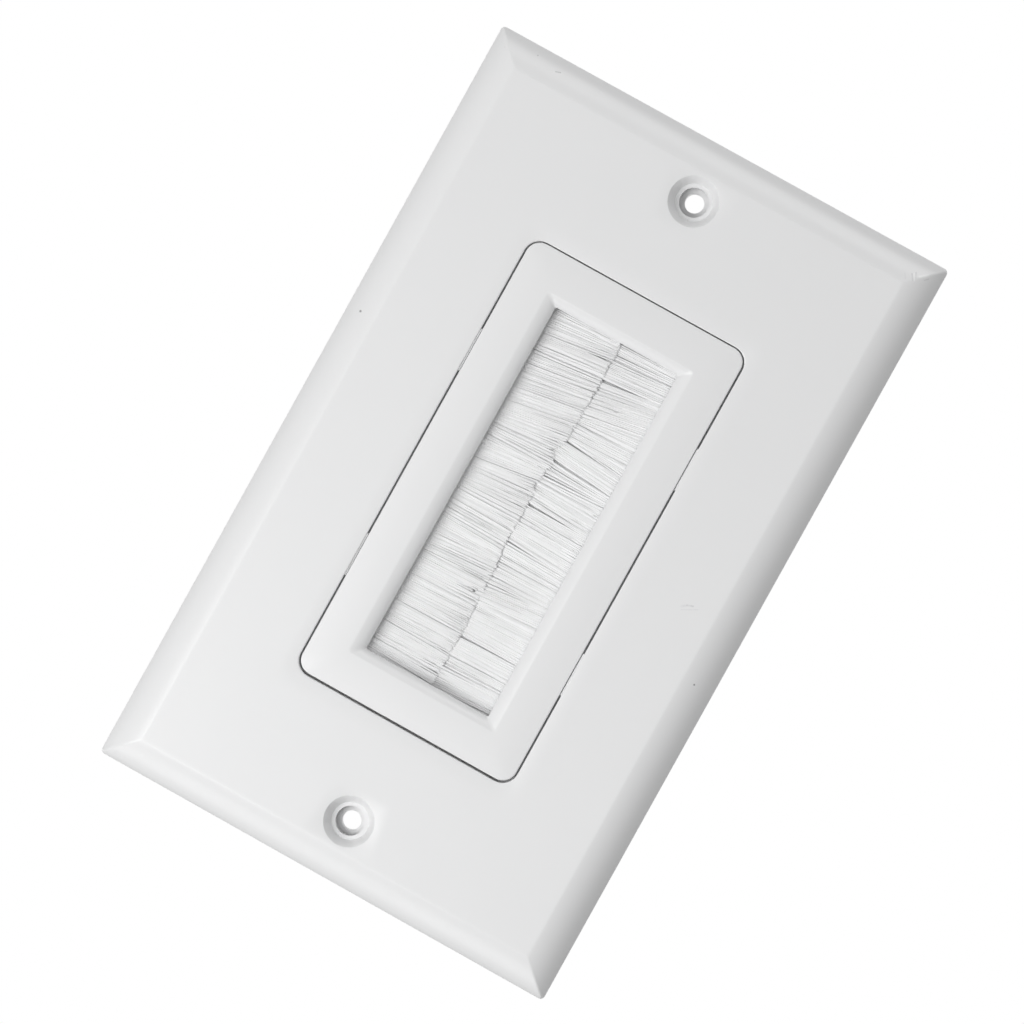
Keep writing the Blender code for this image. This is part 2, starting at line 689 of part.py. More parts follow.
def retainer_frame():
    """Flat frame that closes the cavity, with a raised bead around its window."""
    width = CAVITY_WIDTH - 2 * CONTACT_GAP
    height = CAVITY_HEIGHT - 2 * CONTACT_GAP
    radius = max(CAVITY_RADIUS, RETAINER_RADIUS)
    margin = RETAINER_WINDOW_MARGIN
    bead = margin + RETAINER_BEAD_WIDTH
    bead_y = RETAINER_BACK_Y + RETAINER_BEAD
    bm = bmesh.new()
    loft(bm, [
        rounded_rectangle(width, height, radius, RETAINER_FRONT_Y),
        rounded_rectangle(width, height, radius, RETAINER_BACK_Y - EDGE_RADIUS),
        rounded_rectangle(width - 2 * EDGE_RADIUS, height - 2 * EDGE_RADIUS, radius, RETAINER_BACK_Y),
        window_outline(bead + EDGE_RADIUS, RETAINER_RADIUS, RETAINER_BACK_Y),
        window_outline(bead, RETAINER_RADIUS, RETAINER_BACK_Y + EDGE_RADIUS),
        window_outline(bead - EDGE_RADIUS, RETAINER_RADIUS, bead_y),
        window_outline(margin + EDGE_RADIUS, RETAINER_RADIUS, bead_y),
        window_outline(margin, RETAINER_RADIUS, bead_y - EDGE_RADIUS),
        window_outline(margin, RETAINER_RADIUS, RETAINER_FRONT_Y),
    ], ring=True)
    return bm


def retainer_holes():
    """Clearance holes for the four small screws."""
    profile = (
        (SHANK_RADIUS + CONTACT_GAP, RETAINER_FRONT_Y - OVERRUN),
        (SHANK_RADIUS + CONTACT_GAP, RETAINER_BACK_Y + OVERRUN),
    )
    bm = bmesh.new()
    for place in fixing_places():
        turn(bm, profile, SCREW_SIDES, place)
    return bm


def build_retainer(material):
    """Frame that traps both strip brushes in the insert."""
    retainer = make_piece("rear_retainer", retainer_frame(), material)
    combine(retainer, make_tool("retainer_hole_tool", retainer_holes()), "DIFFERENCE")


def screw_body():
    """Pan-head screw with its head's underside at y = 0 and its point towards the face."""
    bite = SHANK_BITE + RETAINER_THICKNESS + CONTACT_GAP
    profile = [(SHANK_RADIUS * 0.25, -bite), (SHANK_RADIUS, -bite + SHANK_RADIUS * 1.4)]
    profile += [(SHANK_RADIUS, 0.0), (HEAD_RADIUS, 0.0), (HEAD_RADIUS, HEAD_EDGE)]
    dome_steps = 4
    for step in range(1, dome_steps):
        angle = math.radians(90) * step / dome_steps
        height = HEAD_EDGE + (HEAD_HEIGHT - HEAD_EDGE) * math.sin(angle)
        profile.append((HEAD_RADIUS * (0.35 + 0.65 * math.cos(angle)), height))
    profile.append((HEAD_RADIUS * 0.35, HEAD_HEIGHT))
    bm = bmesh.new()
    turn(bm, profile, SCREW_SIDES)
    return bm


def cross_recess():
    """Cross-shaped driver recess that narrows towards its bottom."""
    outlines = []
    for y, scale in ((HEAD_HEIGHT - RECESS_DEPTH, 0.45), (HEAD_HEIGHT + RECESS_DEPTH, 1.55)):
        long = RECESS_LENGTH / 2 * scale
        wide = RECESS_WIDTH / 2 * (0.75 + scale / 4)
        outline = []
        for quarter in range(4):
            angle = math.radians(90) * quarter
            for along, across in ((long, -wide), (long, wide), (wide, wide)):
                x = along * math.cos(angle) - across * math.sin(angle)
                z = along * math.sin(angle) + across * math.cos(angle)
                outline.append(Vector((x, y, z)))
        outlines.append(outline)
    bm = bmesh.new()
    loft(bm, outlines)
    return bm


def build_retainer_screws(material):
    """Four screws that hold the retainer, each with its own driver recess."""
    mesh = mesh_from(screw_body(), "retainer_screw")
    mesh.materials.append(material)
    recess_mesh = mesh_from(cross_recess(), "driver_recess")
    for number, place in enumerate(fixing_places(), start=1):
        location = (place[0], RETAINER_BACK_Y + CONTACT_GAP, place[1])
        screw = bpy.data.objects.new(f"retainer_screw_{number}", mesh)
        recess = bpy.data.objects.new(f"driver_recess_{number}", recess_mesh)
        recess.hide_render = True
        recess.display_type = "WIRE"
        for thing in (screw, recess):
            thing.location = location
            bpy.context.scene.collection.objects.link(thing)
        combine(screw, recess, "DIFFERENCE")


def main():
    """Build every piece of the wall plate."""
    clear_scene()
    white = make_material("white_moulding", (0.86, 0.86, 0.86), 0.3)
    natural = make_material("retainer_moulding", (0.80, 0.80, 0.79), 0.4)
    nylon = make_material("nylon_bristle", (0.90, 0.90, 0.90), 0.4)
    aluminium = make_material("channel_aluminium", (0.78, 0.79, 0.80), 0.35, 1.0)
    steel = make_material("core_wire_steel", (0.62, 0.62, 0.62), 0.35, 1.0)
    zinc = make_material("screw_zinc", (0.70, 0.71, 0.73), 0.3, 1.0)
    build_wall_plate(white)
    build_insert_frame(white)
    for name, side, seed in (("left", -1, 11), ("right", 1, 29)):
        build_channel("brush_channel_" + name, side, aluminium)
        build_core_wire("core_wire_" + name, side, steel)
        build_bristles("bristles_" + name, side, seed, nylon)
    build_retainer(natural)
    build_retainer_screws(zinc)


main()
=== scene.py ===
# %% [markdown]
# A brush wall plate, dressed for its picture.
# The plate is a glossy white moulding that hangs on a wall. Its insert has a tall window, and two
# rows of white nylon bristles close that window, so that cables can pass while dust and draughts
# stay out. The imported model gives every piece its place. This script builds finer surfaces over it
# with numpy, gives every piece a finish, and sets up the studio and the camera.

import math

import bmesh
import bpy
import numpy as np
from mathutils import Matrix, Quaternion, Vector


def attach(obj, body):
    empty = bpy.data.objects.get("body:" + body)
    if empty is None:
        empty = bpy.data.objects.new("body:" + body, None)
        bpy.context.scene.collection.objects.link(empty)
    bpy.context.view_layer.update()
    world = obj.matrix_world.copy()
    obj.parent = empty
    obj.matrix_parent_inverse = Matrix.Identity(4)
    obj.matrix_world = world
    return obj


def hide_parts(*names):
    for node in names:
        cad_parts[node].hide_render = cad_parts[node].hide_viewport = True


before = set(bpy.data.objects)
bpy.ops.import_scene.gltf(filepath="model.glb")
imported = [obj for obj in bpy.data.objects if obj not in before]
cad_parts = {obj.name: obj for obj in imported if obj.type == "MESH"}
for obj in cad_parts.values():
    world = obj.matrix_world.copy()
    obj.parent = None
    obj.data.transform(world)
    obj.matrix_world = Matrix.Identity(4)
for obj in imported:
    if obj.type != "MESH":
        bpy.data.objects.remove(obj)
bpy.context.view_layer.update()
MM = 0.001
print("packed nodes:", sorted(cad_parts))

# %% [markdown]
# The camera comes first, because it decides how much detail each piece needs. The photograph was
# taken with a long lens from a little right of the plate's middle, and the plate lies turned in
# the picture. Four corners of the plate, read from the photograph, fix the place, the point looked
# at, the focal length and the roll. A long lens far away keeps the sides nearly parallel.

# %% Camera
CAMERA_PLACE = Vector((43.37, -750.25, 14.57)) * MM
CAMERA_TARGET = Vector((-1.426, 0.0, -0.727)) * MM
CAMERA_ROLL = math.radians(29.07)
FOCAL_LENGTH = 192.04
SENSOR_WIDTH = 36.0


def aimed(name, data, place, target, roll=0.0):
    """Object at a place that looks at a target, turned about that line by a roll."""
    made = bpy.data.objects.new(name, data)
    bpy.context.scene.collection.objects.link(made)
    made.location = place
    made.rotation_mode = "QUATERNION"
    aim = (Vector(target) - Vector(place)).to_track_quat("-Z", "Y")
    made.rotation_quaternion = aim @ Quaternion((0, 0, 1), roll)
    return made


camera = aimed("camera", bpy.data.cameras.new("camera"), CAMERA_PLACE, CAMERA_TARGET, CAMERA_ROLL)
camera.data.lens = FOCAL_LENGTH
camera.data.sensor_width = SENSOR_WIDTH
bpy.context.scene.camera = camera
bpy.context.scene.view_settings.view_transform = "Standard"
print("camera at", [round(c, 4) for c in camera.location])

# %% [markdown]
# Every new surface is a grid of points: rows one way, columns the other. Faces join neighbours,
# and the last column joins the first, because every surface here runs round something. One helper
# makes the faces of such a grid, a second puts several grids together as one piece. Where two
# grids share an edge they hold the same points, so merging the doubles closes the seam. Where a
# row is shrunk to one point, merging turns its quads into triangles, which closes a pole.

# %% Grids of points into meshes
MERGE_DISTANCE = 0.0005 * MM


def grid(points, skip=None):
    """Quads between neighbouring points of a (rows, columns, 3) array, closed round.

    Quad (i, j) joins the points (i, j), (i, j+1), (i+1, j+1) and (i+1, j), and the last column
    joins the first. Quads where skip is true are left out.
    """
    rows, columns = points.shape[:2]
    index = np.arange(rows * columns).reshape(rows, columns)
    index = np.concatenate([index, index[:, :1]], axis=1)
    quads = np.stack([index[:-1, :-1], index[:-1, 1:], index[1:, 1:], index[1:, :-1]], axis=-1)
    if skip is not None:
        quads = quads[~skip]
    return points.reshape(-1, 3), quads.reshape(-1, 4)


def joined(parts):
    """One set of points and quads: each part's indices are raised by the points before it."""
    counts = [len(points) for points, _ in parts]
    starts = np.concatenate([[0], np.cumsum(counts)[:-1]]).astype(int)
    points = np.concatenate([points for points, _ in parts])
    quads = np.concatenate([quads + start for (_, quads), start in zip(parts, starts)])
    return points, quads


def mesh_of(name, parts, merge=True):
    """Mesh from parts, written with whole arrays; faces are turned outwards, and doubles merged."""
    points, quads = joined(parts)
    mesh = bpy.data.meshes.new(name)
    mesh.vertices.add(len(points))
    mesh.vertices.foreach_set("co", points.astype(np.float32).ravel())
    mesh.loops.add(quads.size)
    mesh.loops.foreach_set("vertex_index", quads.astype(np.int32).ravel())
    mesh.polygons.add(len(quads))
    mesh.polygons.foreach_set("loop_start", np.arange(0, quads.size, 4, dtype=np.int32))
    mesh.update(calc_edges=True)
    bm = bmesh.new()
    bm.from_mesh(mesh)
    if merge:
        bmesh.ops.remove_doubles(bm, verts=bm.verts, dist=MERGE_DISTANCE)
        bmesh.ops.dissolve_degenerate(bm, edges=bm.edges, dist=MERGE_DISTANCE)
    bmesh.ops.recalc_face_normals(bm, faces=bm.faces)
    bm.to_mesh(mesh)
    bm.free()
    return mesh


def add_piece(name, mesh, material, stands_for, sharp=24):
    """Add a finished piece: smooth except over edges sharper than the given degrees."""
    mesh.shade_smooth()
    if sharp:
        mesh.set_sharp_from_angle(angle=math.radians(sharp))
    mesh.materials.append(material)
    piece = bpy.data.objects.new(name, mesh)
    bpy.context.scene.collection.objects.link(piece)
    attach(piece, "root")
    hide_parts(*stands_for)
    triangles = sum(len(face.vertices) - 2 for face in mesh.polygons)
    print(name, len(mesh.vertices), "points,", triangles, "triangles")


# %% [markdown]
# Almost every part of the two mouldings follows a rounded rectangle: the rim, the rounded edge,
# the opening, the insert, its window. If all these outlines have the same number of points, in the
# same order, then any two of them can be joined by straight rows, and a profile can be carried
# round them. The points on the long and short sides are given as fractions, so that they can be
# set close together where a screw hole will be cut in.

# %% Outlines that match point for point
ARC_STEPS = 8


def outline(width, height, radius, across, up, centre=(0.0, 0.0)):
    """Rounded rectangle as (n, 2) points (x, z), anticlockwise from the right side's lower end.

    A side's point is its middle plus fraction times half its straight length. A corner's point is
    the corner's centre plus radius times (cos a, sin a). radius may be four numbers, for the
    corners top right, top left, bottom left and bottom right.
    """
    radii = np.broadcast_to(radius, 4).astype(float)
    signs = np.array([(1, 1), (-1, 1), (-1, -1), (1, -1)])
    centres = signs * (np.array([width, height]) / 2 - radii[:, None])
    runs = []
    for corner in range(4):
        start, end = centres[corner - 1], centres[corner]
        out = np.array([math.cos(corner * math.pi / 2), math.sin(corner * math.pi / 2)])
        fractions = (1 + (up if corner % 2 == 0 else across)[:, None]) / 2
        run = start + out * radii[corner - 1] + fractions * (
            end - start + out * (radii[corner] - radii[corner - 1]))
        angles = math.pi / 2 * (corner + np.linspace(0, 1, ARC_STEPS + 1)[1:-1])
        arc = centres[corner] + radii[corner] * np.stack([np.cos(angles), np.sin(angles)], axis=1)
        runs += [run, arc]
    return np.concatenate(runs) + np.asarray(centre)


def at_depth(flat, y):
    """Points (x, z) of the wall's plane lifted to (x, y, z)."""
    return np.stack([flat[..., 0], np.broadcast_to(y, flat.shape[:-1]), flat[..., 1]], axis=-1)


def ruled(first, last, shares):
    """Rows between two outlines: first times (1 - share) plus last times share."""
    shares = np.asarray(shares)[:, None, None]
    return first[None] * (1 - shares) + last[None] * shares


def circle(sides):
    """Evenly spaced angles round a circle, from 0."""
    return np.linspace(0, 2 * math.pi, sides, endpoint=False)


def around(centre, radius, y, angles):
    """Points (x, y, z): centre plus radius times (cos a, sin a) in x and z, at the depth y."""
    x, z = centre[0] + radius * np.cos(angles), centre[1] + radius * np.sin(angles)
    return np.stack([x, np.broadcast_to(y, x.shape), z], axis=-1)


def turned(profile, centre, sides):
    """Surface of revolution about an axis into the wall, from (radius, y) pairs."""
    radius, y = np.array(profile).T
    return grid(around(centre, radius[:, None], y[:, None], circle(sides)))


def capped(rows):
    """Closed tube through rows of points; each end is drawn together to the middle of its row."""
    ends = [np.broadcast_to(row.mean(axis=0), row.shape)[None] for row in (rows[0], rows[-1])]
    return grid(np.concatenate([ends[0], rows, ends[1]]))


def swept(section, path):
    """Closed bar: path point plus section offset, for a section of (n, 3) offsets."""
    return capped(np.asarray(path)[:, None, :] + np.asarray(section)[None])


# %% [markdown]
# The finish of the plate and the insert is a hard glossy white plastic. It isn't perfectly even:
# the tone drifts a little over the face, the gloss varies as if hands had touched it, and the
# surface has the faint ripple of any large moulded face. All of it is read from Object
# coordinates, which are metres here, so the grain keeps its real size. Small marks of use are
# dots, a scuff and a few scratches, each placed by its own coordinates. One light stroke along
# the top right corner's mitre is no mark of use but a painted highlight.

# %% A small kit for material nodes
SOLID_SHARE = 0.4


def fill(tree, made, inputs):
    """Give a node's inputs, by name or number, a value each or a link from a socket."""
    for key, value in inputs.items():
        if isinstance(value, bpy.types.NodeSocket):
            tree.links.new(value, made.inputs[key])
        else:
            made.inputs[key].default_value = value


def node(tree, kind, inputs=None, **settings):
    """Add a node with its settings and its inputs."""
    made = tree.nodes.new(kind)
    for key, value in settings.items():
        setattr(made, key, value)
    fill(tree, made, inputs or {})
    return made


def new_material(name):
    """Material, its node tree, its shader, and a socket with the place on the object in metres."""
    material = bpy.data.materials.new(name)
    material.use_nodes = True
    tree = material.node_tree
    point = node(tree, "ShaderNodeTexCoord").outputs["Object"]
    return material, tree, tree.nodes["Principled BSDF"], point


def noise(tree, point, size, low, high, detail=3.0, roughness=0.55):
    """Soft random field with features of the given size, as a number between low and high.

    The field's middle half is stretched to the whole range along 3t^2 - 2t^3, so it has no creases.
    """
    field = node(tree, "ShaderNodeTexNoise",
                 {"Vector": point, "Scale": 1 / size, "Detail": detail, "Roughness": roughness})
    return node(tree, "ShaderNodeMapRange", {
        "Value": field.outputs["Fac"], "From Min": 0.25, "From Max": 0.75,
        "To Min": low, "To Max": high,
    }, interpolation_type="SMOOTHSTEP").outputs["Result"]


def arithmetic(tree, operation, first, second):
    """One sum, product or other operation on two numbers or sockets."""
    return node(tree, "ShaderNodeMath", {0: first, 1: second}, operation=operation).outputs[0]


def vector(tree, operation, first, second):
    """One operation on two vectors or sockets; a distance or a dot product gives a number."""
    made = node(tree, "ShaderNodeVectorMath", {0: first, 1: second}, operation=operation)
    return made.outputs["Value" if operation in ("DISTANCE", "DOT_PRODUCT") else "Vector"]


def closeness(tree, first, second, reach):
    """1 where two points nearly meet, falling to 0 where they are a reach apart."""
    return node(tree, "ShaderNodeMapRange", {
        "Value": vector(tree, "DISTANCE", first, second),
        "From Min": reach, "From Max": reach * SOLID_SHARE, "To Min": 0.0, "To Max": 1.0,
    }).outputs["Result"]


def stroke(tree, point, start, end, width):
    """1 on a straight scratch from start to end, falling to 0 at its width.

    The distance to a segment is the distance to start + t (end - start), where t is the point's
    share of the way, held between 0 and 1.
    """
    run = np.subtract(end, start)
    away = vector(tree, "SUBTRACT", point, start)
    along = vector(tree, "DOT_PRODUCT", away, run / (run @ run))
    share = node(tree, "ShaderNodeClamp", {"Value": along}).outputs["Result"]
    return closeness(tree, away, vector(tree, "MULTIPLY", run, share), width)


def tinted(tree, base, tint, amount):
    """Colour between base and tint by an amount socket."""
    first, second = (colour if isinstance(colour, bpy.types.NodeSocket) else (*colour, 1.0)
                     for colour in (base, tint))
    return node(tree, "ShaderNodeMix", {"Factor": amount, 6: first, 7: second},
                data_type="RGBA").outputs[2]


def bump(tree, height, distance, strength, before=None):
    """Normal socket from a height number times a distance in metres."""
    inputs = {"Height": height, "Distance": distance, "Strength": strength}
    if before is not None:
        inputs["Normal"] = before
    return node(tree, "ShaderNodeBump", inputs).outputs["Normal"]


# %% White moulding
WHITE = (0.830, 0.832, 0.834)
WHITE_DEEPER = (0.822, 0.824, 0.827)
MARK_GREY = (0.10, 0.10, 0.10)
DIRT_GREY = (0.42, 0.42, 0.42)
SCUFF_GREY = (0.66, 0.66, 0.67)
SMUDGE_GREY = (0.74, 0.74, 0.75)
# This white lightens a scuff's stroke, and it also paints a highlight along one mitre.
SCUFF_AND_HIGHLIGHT_WHITE = (0.95, 0.95, 0.95)
DRIFT_SIZE, HANDLED_SIZE, HANDLED_GLOSS = 26 * MM, 9 * MM, (0.28, 0.33)
RIPPLE_SIZE, RIPPLE_HEIGHT = 14 * MM, 0.012 * MM
GRAIN_SIZE, GRAIN_HEIGHT = 0.35 * MM, 0.0016 * MM
BREAK_SIZE, BREAK_RANGE, PLASTIC_IOR = 0.5 * MM, (0.3, 0.9), 1.49
FACING = np.array([1.0, 0.1, 1.0])

# Each speck is a place and a radius in mm and a strength.
SPECKS = [
    ((-32.7, -3.4, 13.3), 0.28, 0.97), ((32.1, -4.9, -9.1), 0.17, 0.8),
    ((-1.5, -6.0, 47.4), 0.09, 0.8), ((-33.0, -3.4, 54.5), 0.16, 0.3),
    ((-28.5, -4.2, 55.7), 0.14, 0.3),
]
# Each scratch or painted highlight is a start, an end and a width in mm and a colour.
SCRATCHES_AND_HIGHLIGHT = [
    ((30.8, -5.4, 54.2), (31.3, -5.5, 53.5), 0.17, SCUFF_GREY),
    ((31.0, -5.4, 54.4), (31.5, -5.5, 53.5), 0.13, SCUFF_AND_HIGHLIGHT_WHITE),
    ((31.2, -5.3, 54.6), (31.5, -5.3, 54.0), 0.18, SCUFF_GREY),
    # Painted highlight: a light stroke along the top right corner's mitre, not wear.
    ((31.9, -5.2, 54.4), (32.8, -4.9, 55.1), 0.26, SCUFF_AND_HIGHLIGHT_WHITE),
    ((32.7, -5.0, 54.3), (33.1, -4.7, 54.7), 0.12, SCUFF_GREY),
    ((29.9, -5.6, 53.8), (30.3, -5.6, 53.2), 0.13, SMUDGE_GREY),
    ((-25.2, -4.8, 54.9), (-24.6, -4.8, 55.1), 0.13, DIRT_GREY),
    ((25.4, -6.0, -0.6), (26.0, -6.0, -0.1), 0.22, SMUDGE_GREY),
    ((26.0, -6.0, -0.1), (26.8, -6.0, 0.2), 0.16, SCUFF_GREY),
    ((25.6, -6.0, -1.0), (27.6, -6.0, 0.1), 0.12, SMUDGE_GREY),
]


def moulded_white(name, marks):
    """Glossy white plastic: drifting tone, uneven gloss, faint ripple, marks of use, painted
    highlight.

    A mark is looked up on point times FACING, which nearly flattens the depth, so it lands on the
    surface even where its own depth is a little off.
    """
    material, tree, shader, point = new_material(name)
    drift = noise(tree, point, DRIFT_SIZE, 0.0, 1.0, detail=7.0, roughness=0.8)
    colour = tinted(tree, WHITE, WHITE_DEEPER, drift)
    if marks:
        front = vector(tree, "MULTIPLY", point, FACING)
        breaks = noise(tree, point, BREAK_SIZE, *BREAK_RANGE)
        for place, radius, strength in SPECKS:
            dot = closeness(tree, front, place * FACING * MM, radius * MM)
            colour = tinted(tree, colour, MARK_GREY, arithmetic(tree, "MULTIPLY", dot, strength))
        # These strokes are scuffs, smudges and dirt, plus one painted highlight on a mitre.
        for start, end, width, shade in SCRATCHES_AND_HIGHLIGHT:
            line = stroke(tree, front, start * FACING * MM, end * FACING * MM, width * MM)
            colour = tinted(tree, colour, shade, arithmetic(tree, "MULTIPLY", line, breaks))
    handled = noise(tree, point, HANDLED_SIZE, *HANDLED_GLOSS, detail=1.0)
    waves = noise(tree, point, RIPPLE_SIZE, 0.0, 1.0, detail=1.0)
    grains = noise(tree, point, GRAIN_SIZE, 0.0, 1.0, detail=2.0)
    ripple = bump(tree, waves, RIPPLE_HEIGHT, 0.6)
    fill(tree, shader, {"Base Color": colour, "Roughness": handled, "IOR": PLASTIC_IOR,
                        "Normal": bump(tree, grains, GRAIN_HEIGHT, 0.5, ripple)})
    return material


plate_white = moulded_white("plate_white", marks=True)
insert_white = moulded_white("insert_white", marks=False)
print("white mouldings:", plate_white.name, insert_white.name)

# %% [markdown]
# The wall plate is one thin moulding, 2 mm thick: a short upright skirt, a broad rounded edge that
# meets the flat face at a faint crease, and an opening for the insert. It could be a block with
# bevels, but the real edge isn't a plain bevel: it is a flat arc that starts steep at the skirt
# and ends 15 degrees short of the face. So its profile is worked out as points (inset from the
# rim, height off the wall) and carried round the plate as one outline per point. The corners of
# those outlines sharpen inwards, which draws the mitre lines that run from each corner.

# %% Plate sizes and edge profile
PLATE_WIDTH, PLATE_HEIGHT, PLATE_DEPTH = 69.85 * MM, 114.3 * MM, 6.0 * MM
PLATE_WALL = 2.0 * MM
SKIRT_HEIGHT = 2.0 * MM
BEVEL_WIDTH = 4.6 * MM
BEVEL_TURN = math.radians(54)
CORNER_RADIUS, MITRE_RADIUS = 0.6 * MM, 0.25 * MM
EDGE_RADIUS, RIM_SOFT = 0.2 * MM, 0.12 * MM
FACE_Y = -PLATE_DEPTH
INSIDE_Y = FACE_Y + PLATE_WALL

rise = PLATE_DEPTH - SKIRT_HEIGHT
arc_radius = math.hypot(BEVEL_WIDTH, rise) / 2 / math.sin(BEVEL_TURN / 2)
steepest = math.atan2(rise, BEVEL_WIDTH) + BEVEL_TURN / 2
flattest = steepest - BEVEL_TURN
arc_centre = np.array([arc_radius * math.sin(steepest),
                       SKIRT_HEIGHT - arc_radius * math.cos(steepest)])


def edge_arc(radius, first, last, steps):
    """Arc of the rounded edge: centre plus radius times (-sin slope, cos slope)."""
    slope = np.linspace(first, last, steps)
    return arc_centre + radius * np.stack([-np.sin(slope), np.cos(slope)], axis=1)


def curve_through(first, control, last, steps):
    """Points (1-t)^2 first + 2t(1-t) control + t^2 last, a soft corner between two lines."""
    first, control, last = np.array(first), np.array(control), np.array(last)
    t = np.linspace(0, 1, steps)[:, None]
    return (1 - t) ** 2 * first + 2 * t * (1 - t) * control + t ** 2 * last


crease_half = EDGE_RADIUS / arc_radius
outer_arc = edge_arc(arc_radius, steepest, flattest + crease_half, steps=26)
crease = (BEVEL_WIDTH, PLATE_DEPTH)
face_start = (BEVEL_WIDTH + EDGE_RADIUS, PLATE_DEPTH)
outer_profile = np.concatenate([
    curve_through((RIM_SOFT, 0), (0, 0), (0, RIM_SOFT), steps=4),
    outer_arc,
    curve_through(outer_arc[-1], crease, face_start, steps=5)[1:],
])
inner_radius = arc_radius - PLATE_WALL
inner_end = math.acos((PLATE_DEPTH - PLATE_WALL - arc_centre[1]) / inner_radius)
inner_arc = edge_arc(inner_radius, steepest, inner_end, steps=14)
inner_profile = np.concatenate([inner_arc[::-1], [(inner_arc[0, 0], 0)]])
print("edge profile points:", len(outer_profile), "outside,", len(inner_profile), "inside")

# %% [markdown]
# The countersunk screw holes interrupt the flat face. A boolean would leave long thin triangles
# that spoil a glossy face, so the hole is woven into the grid instead: a window of quads is left
# out round the screw's place, and a ring of quads runs from the window's border straight towards
# the middle of the hole until it meets the rim. Each new point is centre + radius * direction to
# the border point.

# %% Weave round holes into a flat face
SCREW_Z = 48.42 * MM
WINDOW_HALF, WINDOW_STEPS, OUTER_STEPS = 0.19, 32, 8
WINDOW_ROWS, WINDOW_SHARE, REST_ROWS = 17, 0.47, 4
dense = np.linspace(-WINDOW_HALF, WINDOW_HALF, WINDOW_STEPS + 1)
sparse = np.linspace(WINDOW_HALF, 1, OUTER_STEPS + 1)[1:]
PLATE_ACROSS = np.concatenate([-sparse[::-1], dense, sparse])
PLATE_UP = np.linspace(-1, 1, 25)
top_window = len(PLATE_UP) + ARC_STEPS - 1 + OUTER_STEPS
bottom_window = top_window + len(PLATE_ACROSS) + len(PLATE_UP) + 2 * (ARC_STEPS - 1)


def window_border(points, first, last):
    """Border of a window of quads in a grid, in order: along the top, down, back, and up."""
    rows = WINDOW_ROWS
    return np.concatenate([
        points[0, first:last], points[:rows, last],
        points[rows, last:first:-1], points[rows:0:-1, first],
    ])


def face_with_holes(outer, inner, y, rim):
    """Flat ring between two outlines with a round hole in its top and in its bottom band.

    Returns the grid, then a (border, rim) pair of matching point rows for each hole.
    """
    shares = np.concatenate([np.linspace(0, WINDOW_SHARE, WINDOW_ROWS + 1),
                             np.linspace(WINDOW_SHARE, 1, REST_ROWS + 1)[1:]])
    points = at_depth(ruled(outer, inner, shares), y)
    skip = np.zeros((points.shape[0] - 1, points.shape[1]), bool)
    holes = []
    for side, first in ((1, top_window), (-1, bottom_window)):
        last = first + WINDOW_STEPS
        skip[:WINDOW_ROWS, first:last] = True
        border = window_border(points, first, last)
        centre = np.array([0.0, y, side * SCREW_Z])
        away = border - centre
        holes.append((border, centre + rim * away / np.linalg.norm(away, axis=1, keepdims=True)))
    return grid(points, skip=skip), holes


# %% Plate shell
OPENING_WIDTH, OPENING_HEIGHT, OPENING_RADIUS = 34.0 * MM, 67.65 * MM, 2.35 * MM
SINK_RADIUS, LEDGE_RADIUS, BORE_RADIUS = 3.5 * MM, 2.6 * MM, 2.06 * MM
SINK_DEPTH, SINK_SOFT = 2.1 * MM, 0.12 * MM


def plate_outline(inset):
    """Outline of the plate at an inset from its rim."""
    radius = max(CORNER_RADIUS - inset, MITRE_RADIUS)
    return outline(PLATE_WIDTH - 2 * inset, PLATE_HEIGHT - 2 * inset, radius,
                   PLATE_ACROSS, PLATE_UP)


def opening_outline(offset):
    """Outline of the plate's opening, moved into the plate by an offset."""
    return outline(OPENING_WIDTH + 2 * offset, OPENING_HEIGHT + 2 * offset, OPENING_RADIUS + offset,
                   PLATE_ACROSS, PLATE_UP)


def profile_rows(profile, make_outline):
    """One outline for each (inset, height) of a profile."""
    return np.stack([at_depth(make_outline(inset), -height) for inset, height in profile])


def soft_edge(radius, steps):
    """Quarter round from a face into a wall: r (1 - sin a), r (1 - cos a), a up to 90 degrees."""
    angle = np.linspace(0, math.pi / 2, steps)
    return radius * np.stack([1 - np.sin(angle), 1 - np.cos(angle)], axis=1)


sink_slope = (SINK_RADIUS - LEDGE_RADIUS) / SINK_DEPTH
sink_inside = LEDGE_RADIUS + sink_slope * (SINK_DEPTH - PLATE_WALL)
front, front_holes = face_with_holes(
    plate_outline(face_start[0]), opening_outline(EDGE_RADIUS), FACE_Y, SINK_RADIUS + SINK_SOFT)
back, back_holes = face_with_holes(
    plate_outline(inner_arc[-1, 0]), opening_outline(0.0), INSIDE_Y, sink_inside)
opening_profile = soft_edge(EDGE_RADIUS, steps=5) * (1, -1) + (0, PLATE_DEPTH)
plate_parts = [
    front, back,
    grid(profile_rows(outer_profile, plate_outline)),
    grid(profile_rows([*opening_profile, (0.0, -INSIDE_Y)], opening_outline)),
    grid(profile_rows([*inner_profile, (RIM_SOFT, 0.0)], plate_outline)),
]
for (border, rim), (back_border, back_rim) in zip(front_holes, back_holes):
    centre = np.array([0.0, FACE_Y, math.copysign(SCREW_Z, border[0, 2])])
    spokes = (rim - centre) / (SINK_RADIUS + SINK_SOFT)
    mouth = [centre + (SINK_RADIUS + inset) * spokes + np.array([0, depth, 0])
             for inset, depth in soft_edge(SINK_SOFT, steps=4)[:-1]]
    plate_parts += [
        grid(np.stack([border, rim])),
        grid(np.stack([*mouth, back_rim])),
        grid(np.stack([back_border, back_rim])),
    ]
print("plate shell parts:", len(plate_parts))

# %% [markdown]
# Behind the face the moulding is stiffened by ribs: a ring round the opening and short ribs from
# the ring to the skirt. Two round bosses back the screw holes, and four low pads in the opening's
# long sides keep the insert central. They could be cut from one block with booleans, but each is a
# simple closed form of its own, so each is a section carried along a path, or a turned profile,
# whose root sinks a little into the wall that carries it. Moulded ribs taper towards their tips,
# so these do.

